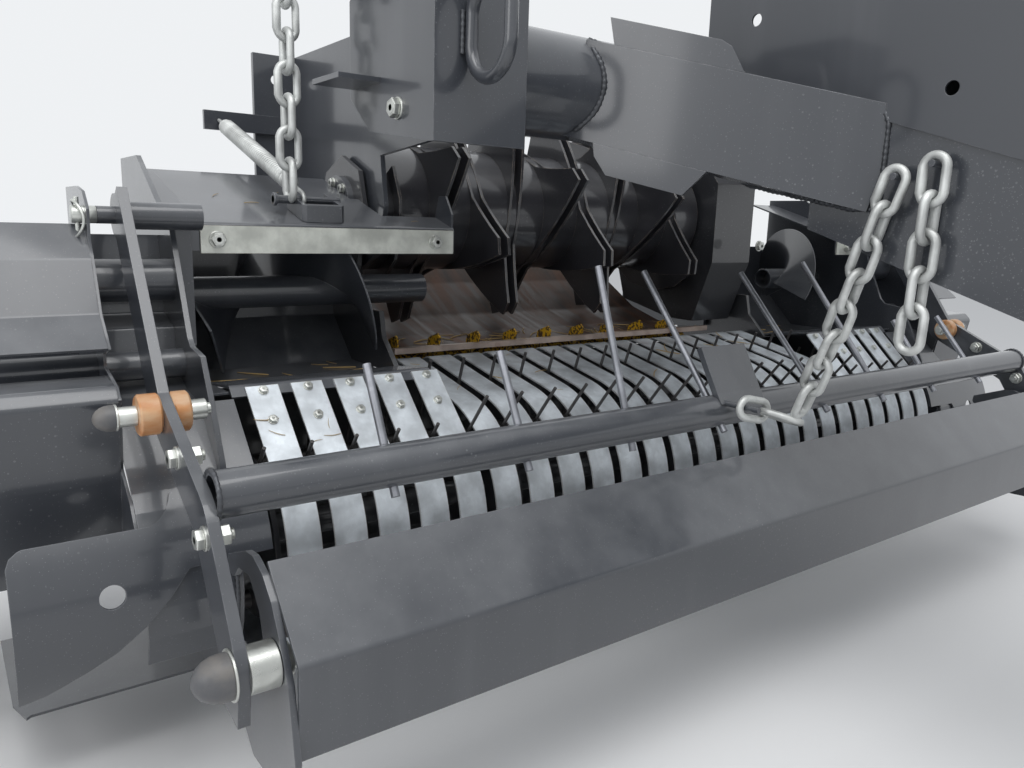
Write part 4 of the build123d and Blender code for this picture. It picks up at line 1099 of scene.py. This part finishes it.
def route_link(route, index):
    """Return the middle and direction of a link on a route of straight runs."""
    place = (index + 0.5) * LINK_PITCH
    for start, end in zip(route, route[1:]):
        run = Vector(end) - Vector(start)
        if place <= run.length:
            return Vector(start) + run.normalized() * place, run.normalized()
        place -= run.length
    return Vector(route[-1]), run.normalized()


def links_on(route, count):
    """Return the places of a chain's links, turned in turn."""
    places = []
    for index in range(count):
        middle, along = route_link(route, index)
        flat = Vector((0, 1, 0))
        side = along.cross(flat) if index % 2 else flat
        side = (side - along * side.dot(along)).normalized()
        places.append((spot(*middle), along, side, 1.0))
    return places


LINK = link_pattern()
repeated("tail_chain_links", LINK, links_on(TAIL_CHAIN_ROUTE, 5), chain_zinc, "chassis", "chain")
guard_links = repeated("guard_chain_links", LINK, links_on(GUARD_CHAIN_ROUTE, 10), chain_zinc)
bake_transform(guard_links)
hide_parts("guard_chain")
lift_route = [(LIFT_CHAIN_X, LIFT_CHAIN_Y, LIFT_CHAIN_LOW - LINK_PITCH / 2),
              (LIFT_CHAIN_X, LIFT_CHAIN_Y, LIFT_CHAIN_LOW + 7 * LINK_PITCH)]
lift_links = repeated("lift_chain_links", LINK, links_on(lift_route, 7), chain_zinc)
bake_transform(lift_links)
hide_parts("lift_chain")
print("chains hung")

# %% [markdown]
# ## The relief spring
#
# A tension spring is a wire wound so tight that its turns nearly touch. Here the path is a helix about
# the line from the pickup's eye to the anchor on the flange. It draws in at both ends, and the lower end
# hooks round the eye's pin.

# %% Relief spring
SPRING_X = -723
EYE_PIN_AT = (150, 534)
SPRING_FROM = spot(SPRING_X, 150, 548)
SPRING_TO = spot(SPRING_X, 613, 705)
SPRING_R = 0.0132
SPRING_WIRE_R = 0.0038
SPRING_TURNS = 46
SPRING_NECK = 0.02
SPRING_END = 0.045
HOOK_R = 11.0
HOOK_SPREAD = 2.3


def spring_path():
    """Return the wire's path: hook, tight turns, hook."""
    run = SPRING_TO - SPRING_FROM
    along = run.normalized()
    out = along.orthogonal().normalized()
    side = along.cross(out)
    path = []
    for step in range(13):
        angle = math.radians(300 - 191 * step / 12)
        radius = HOOK_R + HOOK_SPREAD * step / 12
        path.append(spot(SPRING_X, EYE_PIN_AT[0] + radius * math.cos(angle),
                         EYE_PIN_AT[1] + radius * math.sin(angle)))
    path.append(SPRING_FROM + along * SPRING_NECK)
    reach = run.length - 2 * SPRING_END
    steps = SPRING_TURNS * 14
    for step in range(steps + 1):
        share = step / steps
        angle = 2 * math.pi * SPRING_TURNS * share
        radius = SPRING_R * min(1.0, 30 * share + 0.15, 30 * (1 - share) + 0.15)
        path.append(SPRING_FROM + along * (SPRING_END + reach * share)
                    + (out * math.cos(angle) + side * math.sin(angle)) * radius)
    return path + [SPRING_TO - along * SPRING_NECK, SPRING_TO]


spring = Shape()
spring.tube(spring_path(), SPRING_WIRE_R, 7)
spring_piece = settle(spring.made("relief_spring"), chain_zinc, None, "chain")
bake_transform(spring_piece)
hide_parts("lift_spring")
print("spring turns:", SPRING_TURNS)

# %% [markdown]
# ## Lift eye
#
# A loop of flat bar lies on the auger cover, open to the rear. The chain's lowest link stays where the
# solid's link is, and so meets the end of the loop's cross pin. The relief spring hooks round the same
# pin inside the loop.

# %% Lift eye
COVER_SLOPE = (582.0 - 490.0) / (399.0 - 100.0)
EYE_LEFT, EYE_RIGHT, EYE_FRONT, EYE_BACK, EYE_BAR = -735.0, -658.0, 112.0, 186.0, 8.0
EYE_CUT = 6
EYE_PIN_LEFT = -774


def cover_z(y):
    """Return the height of the auger cover's top at a place along the machine."""
    return 492.5 + COVER_SLOPE * (y - 100)


outer = [(EYE_LEFT, EYE_BACK), (EYE_LEFT, EYE_FRONT + EYE_CUT), (EYE_LEFT + EYE_CUT, EYE_FRONT),
         (EYE_RIGHT - EYE_CUT, EYE_FRONT), (EYE_RIGHT, EYE_FRONT + EYE_CUT), (EYE_RIGHT, EYE_BACK)]
inner = [(EYE_RIGHT - EYE_BAR, EYE_BACK), (EYE_RIGHT - EYE_BAR, EYE_FRONT + EYE_BAR),
         (EYE_LEFT + EYE_BAR, EYE_FRONT + EYE_BAR), (EYE_LEFT + EYE_BAR, EYE_BACK)]
shape = Shape()
shape.rings([[spot(x, y, cover_z(y) + rise) for x, y in outer + inner] for rise in (0.3, 29)])
pin_at(shape, EYE_PIN_LEFT, EYE_RIGHT + EYE_CUT, *EYE_PIN_AT, 7)
pin_at(shape, EYE_PIN_LEFT, -768, *EYE_PIN_AT, 11)
painted(shape.made("lift_loop", 40), "pickup", "lift_eye")
print("lift loop made")

# %% [markdown]
# ## Augers
#
# The side augers' flights are flat facets in the solid. Here the same screw has many more steps, so its
# curved edge runs smooth, and the tube keeps its open end.

# %% Augers
AUGER_AT = (235.0, 368.0)
# Body, node, side, tube's free end, flight's free end, hand
AUGERS = [("left_auger", "auger_left", -1, -436.0, -582.0, 1),
          ("right_auger", "auger_right", 1, 700.0, 715.0, -1)]
AUGER_ROOT = 905.0
AUGER_SHAFT_END = 980.0
AUGER_PITCH = 300.0
# Radius and place across of the flight's section, from its inner edge round its outer one
FLIGHT_SECTION = [(27, -2), (144, -2), (145, 0), (144, 2), (27, 2)]


def flight(shape, low, high, hand):
    """Add the screw flight between two places across the machine."""
    turns = (high - low) / AUGER_PITCH
    steps = int(turns * 56)
    rings = []
    for step in range(steps + 1):
        share = step / steps
        angle = math.radians(200 + hand * 360 * turns * share)
        middle = low + 4 + (high - low - 8) * share
        ring = []
        for radius, shift in FLIGHT_SECTION:
            ring.append(spot(middle + shift, AUGER_AT[0] + radius * math.cos(angle),
                             AUGER_AT[1] + radius * math.sin(angle)))
        rings.append(ring)
    shape.rings(rings)


for body, node, side, tube_end, flight_end, hand in AUGERS:
    shape = Shape()
    root, shaft_end = side * AUGER_ROOT, side * AUGER_SHAFT_END
    low, high = min(root, flight_end), max(root, flight_end)
    flight(shape, low, high, hand)
    base = Matrix.Translation(spot(root, *AUGER_AT)) @ Matrix.Rotation(-side * math.pi / 2, 4, "Y")
    reach = abs(root - tube_end) / 1000
    shape.turned([(0.0, 0.0), (0.029, 0.0), (0.029, reach - 0.001), (0.028, reach), (0.024, reach),
                  (0.024, reach - 0.04), (0.0, reach - 0.04)], 48, base)
    low, high = min(root, shaft_end), max(root, shaft_end)
    pin_at(shape, low, high, *AUGER_AT, 17.5, 1.5)
    painted(shape.made(node + "_screw", 40), body, node)
print("augers made")

# %% [markdown]
# ## Tyres
#
# The gauge wheels' tyres are small ribbed ones: three grooves run round the tread, and the sidewall has
# a bead ring. The section is turned about the axle, and stays inside the plain tyre's box.

# %% Tyres
TREAD = [(102, -40), (106, -44), (118, -47), (124, -51), (150, -54.5), (174, -55), (184, -51), (193, -43),
         (197, -38), (197, -34), (190.5, -32), (190.5, -27), (199, -25), (200, -22), (200, -11), (198.5, -9),
         (191, -7), (191, -2.5), (199, -0.5), (200, 0.5), (199, 2.5), (191, 4), (191, 8), (198.5, 10),
         (200, 12), (200, 22), (199, 25), (190.5, 27), (190.5, 32), (197, 34), (197, 38), (193, 43),
         (184, 51), (174, 55), (150, 54.5), (124, 51), (118, 47), (106, 44), (102, 40)]
for side, word in ((-1, "left"), (1, "right")):
    shape = Shape()
    section = [(radius / 1000, height / 1000) for radius, height in TREAD]
    shape.turned(section, 96, facing_x(side * 1366, *AXLE_AT), closed=True)
    settle(shape.made("ribbed_tyre_" + word, 35), tyre_black, word + "_wheel", "tyre", "tyre_" + word)
print("tyres made")

# %% [markdown]
# ## Weld beads
#
# A weld bead is a small tube whose radius ripples from one pool to the next. Where the leg meets the
# cross tube, its path is found by sliding each point of the leg's outline along the leg to the cylinder.

# %% Weld beads
LEG_FACE = 78
BEAM_FACE_X = -100.8
CROSS_TUBE_AT = (-110, 735)
CROSS_TUBE_WELD_R = 85.5


def bead(shape, corners, radius, closed=False):
    """Add a rippled bead along straight runs between places in metres."""
    runs = list(zip(corners, corners[1:] + corners[:1])) if closed else list(zip(corners, corners[1:]))
    path = []
    for start, end in runs:
        count = max(1, round((end - start).length / 0.0028))
        path += [start.lerp(end, step / count) for step in range(count)]
    if not closed:
        path.append(corners[-1])
    radii = []
    for index in range(len(path)):
        radii.append(radius * (1 + 0.16 * math.sin(1.9 * index) + 0.10 * math.sin(0.37 * index)))
    shape.tube(path, radii, 6, closed)


def leg_outline(count):
    """Return (height, out) points round the leg's square section, with rounded corners."""
    points = []
    for step in range(count):
        angle = 2 * math.pi * step / count
        reach = 1 / max(abs(math.cos(angle)), abs(math.sin(angle)))
        size = LEG_FACE * min(reach, 1.3)
        ways = (math.sin(angle), math.cos(angle))
        points.append(tuple(max(-LEG_FACE, min(LEG_FACE, size * way)) for way in ways))
    return points


def slide_to_tube(height, out):
    """Return where a line along the leg leaves the cross tube, which lies about its axis."""
    base = LEG_ROOT + LEG_RISE * height + LEG_OUT * out
    y, z = base.y - CROSS_TUBE_AT[0], base.z - CROSS_TUBE_AT[1]
    # The distance t along the leg solves a * t * t + 2 * b * t + c = 0, and its larger root is the way out
    a = LEG_RUN.y ** 2 + LEG_RUN.z ** 2
    b = y * LEG_RUN.y + z * LEG_RUN.z
    c = y * y + z * z - CROSS_TUBE_WELD_R ** 2
    return spot(*(base + LEG_RUN * ((-b + math.sqrt(max(0.0, b * b - a * c))) / a)))


def ring_path(x, y, z, radius, count=40):
    """Return a circle of places about an axis along X."""
    turns = [2 * math.pi * step / count for step in range(count)]
    return [spot(x, y + radius * math.cos(turn), z + radius * math.sin(turn)) for turn in turns]


def slide_to_beam(height, out):
    """Return where a line along the leg meets the drawbar's side."""
    base = LEG_ROOT + LEG_RISE * height + LEG_OUT * out
    return spot(*(base + LEG_RUN * ((BEAM_FACE_X - base.x) / LEG_RUN.x)))


chassis_welds = Shape()
bead(chassis_welds, [slide_to_tube(*point) for point in leg_outline(48)], 0.0048, closed=True)
bead(chassis_welds, [slide_to_beam(*point) for point in leg_outline(32)], 0.0042, closed=True)
for height, start, end in ((LEG_FACE, 50, 262), (-LEG_FACE, 58, 251)):
    bead(chassis_welds, [leg_point(start, height, 66.5), leg_point(end, height, 66.5)], 0.0034)
settle(both_sides(chassis_welds.made("drawbar_welds", 70)), weld_steel, "chassis", "dark_paint")
ring_welds = Shape()
for x in (-625, -605):
    bead(ring_welds, [spot(x, -214.5, 738), spot(x, -214.5, 796)], 0.0036)
settle(ring_welds.made("lashing_welds", 70), weld_steel, "chassis", "dark_paint")
guard_welds = Shape()
bead(guard_welds, ring_path(-1024.5, -327, 189, 29.5), 0.0032, closed=True)
settle(both_sides(guard_welds.made("guard_welds", 70)), weld_steel, "crop_guard", "dark_paint")
pickup_welds = Shape()
bead(pickup_welds, [spot(-1081, y, z) for y, z in (polar(196, turn) for turn in range(149, 186, 3))], 0.003)
bead(pickup_welds, [spot(-961.5, y, z) for y, z in (polar(196, turn) for turn in range(166, 214, 3))], 0.003)
settle(both_sides(pickup_welds.made("pickup_welds", 70)), weld_steel, "pickup", "dark_paint")
print("weld beads made")

# %% [markdown]
# ## Linch pin
#
# The guard's pivot pin is kept in by a linch pin: a short pin with a sprung ring round it.

# %% Linch pins
shape = Shape()
pin_at(shape, -1096, -1064, 60, 500, 12.4)
hoop = [spot(-1088 + 5 * math.cos(2 * turn), 60 + 24 * math.cos(turn), 493 + 26 * math.sin(turn))
        for turn in (2 * math.pi * step / 36 for step in range(36))]
shape.tube(hoop, 0.0022, 8, closed=True)
shape.tube([spot(-1088, 60, 524), spot(-1088, 60, 500), spot(-1088, 60, 468)], 0.0036, 10)
settle(both_sides(shape.made("linch_pins", 50)), bolt_zinc, "pickup", "zinc")
print("linch pins made")

# %% [markdown]
# ## Straw
#
# Bits of straw and leaf lie where crop runs. Each is a thin bent stem, dropped straight down on the
# pieces below it, so it rests on whatever it hits. The random numbers have a fixed seed, so the same
# straws fall on the same places at each run.

# %% Straw
RANDOM = random.Random(4)
DOWN = Vector((0, 0, -1))
DROP_FROM = 700
STEM_REST = 0.0012


def straw_pattern():
    """Return one bent stem, 1 m long, along X."""
    shape = Shape()
    path = [Vector((share - 0.5, 0.07 * math.sin(3.0 * share), 0.03 * share * (1 - share)))
            for share in (0.0, 0.2, 0.45, 0.55, 0.8, 1.0)]
    shape.tube(path, [0.016, 0.02, 0.021, 0.019, 0.017, 0.009], 5)
    return shape.made("straw_pattern")


# Body, nodes to land on, lowest and highest corner of the area (x, y), count, shortest and longest (mm)
STRAW = [
    ("pickup", ["troughs"], (-880, 110), (-600, 300), 12, 25, 70),
    ("pickup", ["auger_cover_left"], (-860, 110), (-470, 330), 7, 12, 35),
    ("pickup", ["bands_left"], (-880, -120), (-540, 40), 8, 15, 45),
    ("pickup", ["bands_centre"], (-520, -60), (520, 160), 26, 15, 60),
    ("chassis", ["knife_floor"], (-510, 178), (370, 330), 90, 12, 60),
    ("chassis", ["floor_bar"], (-510, 158), (370, 172), 16, 12, 30),
    ("pickup", ["troughs"], (640, 110), (880, 300), 8, 25, 70),
]


def dropped(names, low, high, count, short, long):
    """Return places where straws land on the named solids."""
    trees = []
    for name in names:
        body = bmesh.new()
        body.from_mesh(nodes[name].data)
        trees.append(BVHTree.FromBMesh(body))
        body.free()
    places = []
    for _ in range(count):
        above = spot(RANDOM.uniform(low[0], high[0]), RANDOM.uniform(low[1], high[1]), DROP_FROM)
        turn = RANDOM.uniform(0, math.pi)
        size = RANDOM.uniform(short, long) / 1000
        for tree in trees:
            hit, normal, _, _ = tree.ray_cast(above, DOWN)
            if hit is not None and normal.z > 0.15:
                flat = Vector((math.cos(turn), math.sin(turn), 0))
                flat = (flat - normal * flat.dot(normal)).normalized()
                places.append((hit + normal * STEM_REST, normal, flat, size))
                break
    return places


STEM = straw_pattern()
landed = {}
for body, names, low, high, count, short, long in STRAW:
    landed.setdefault(body, []).extend(dropped(names, low, high, count, short, long))
for body, places in landed.items():
    repeated("straw_" + body, STEM, places, straw_gold, body, "bush")
print("straws landed:", sum(len(places) for places in landed.values()))

# %% [markdown]
# ## Remove the patterns
#
# The bolt, nut, link and stem were only there to be copied. Left in, they would count as pieces of the
# machine, and the first two are drawn at one unit of thread, so they are metres across.

# %% Remove the patterns
for pattern in (BOLT, NUT, LINK, STEM):
    bpy.data.objects.remove(pattern)
print("patterns removed")
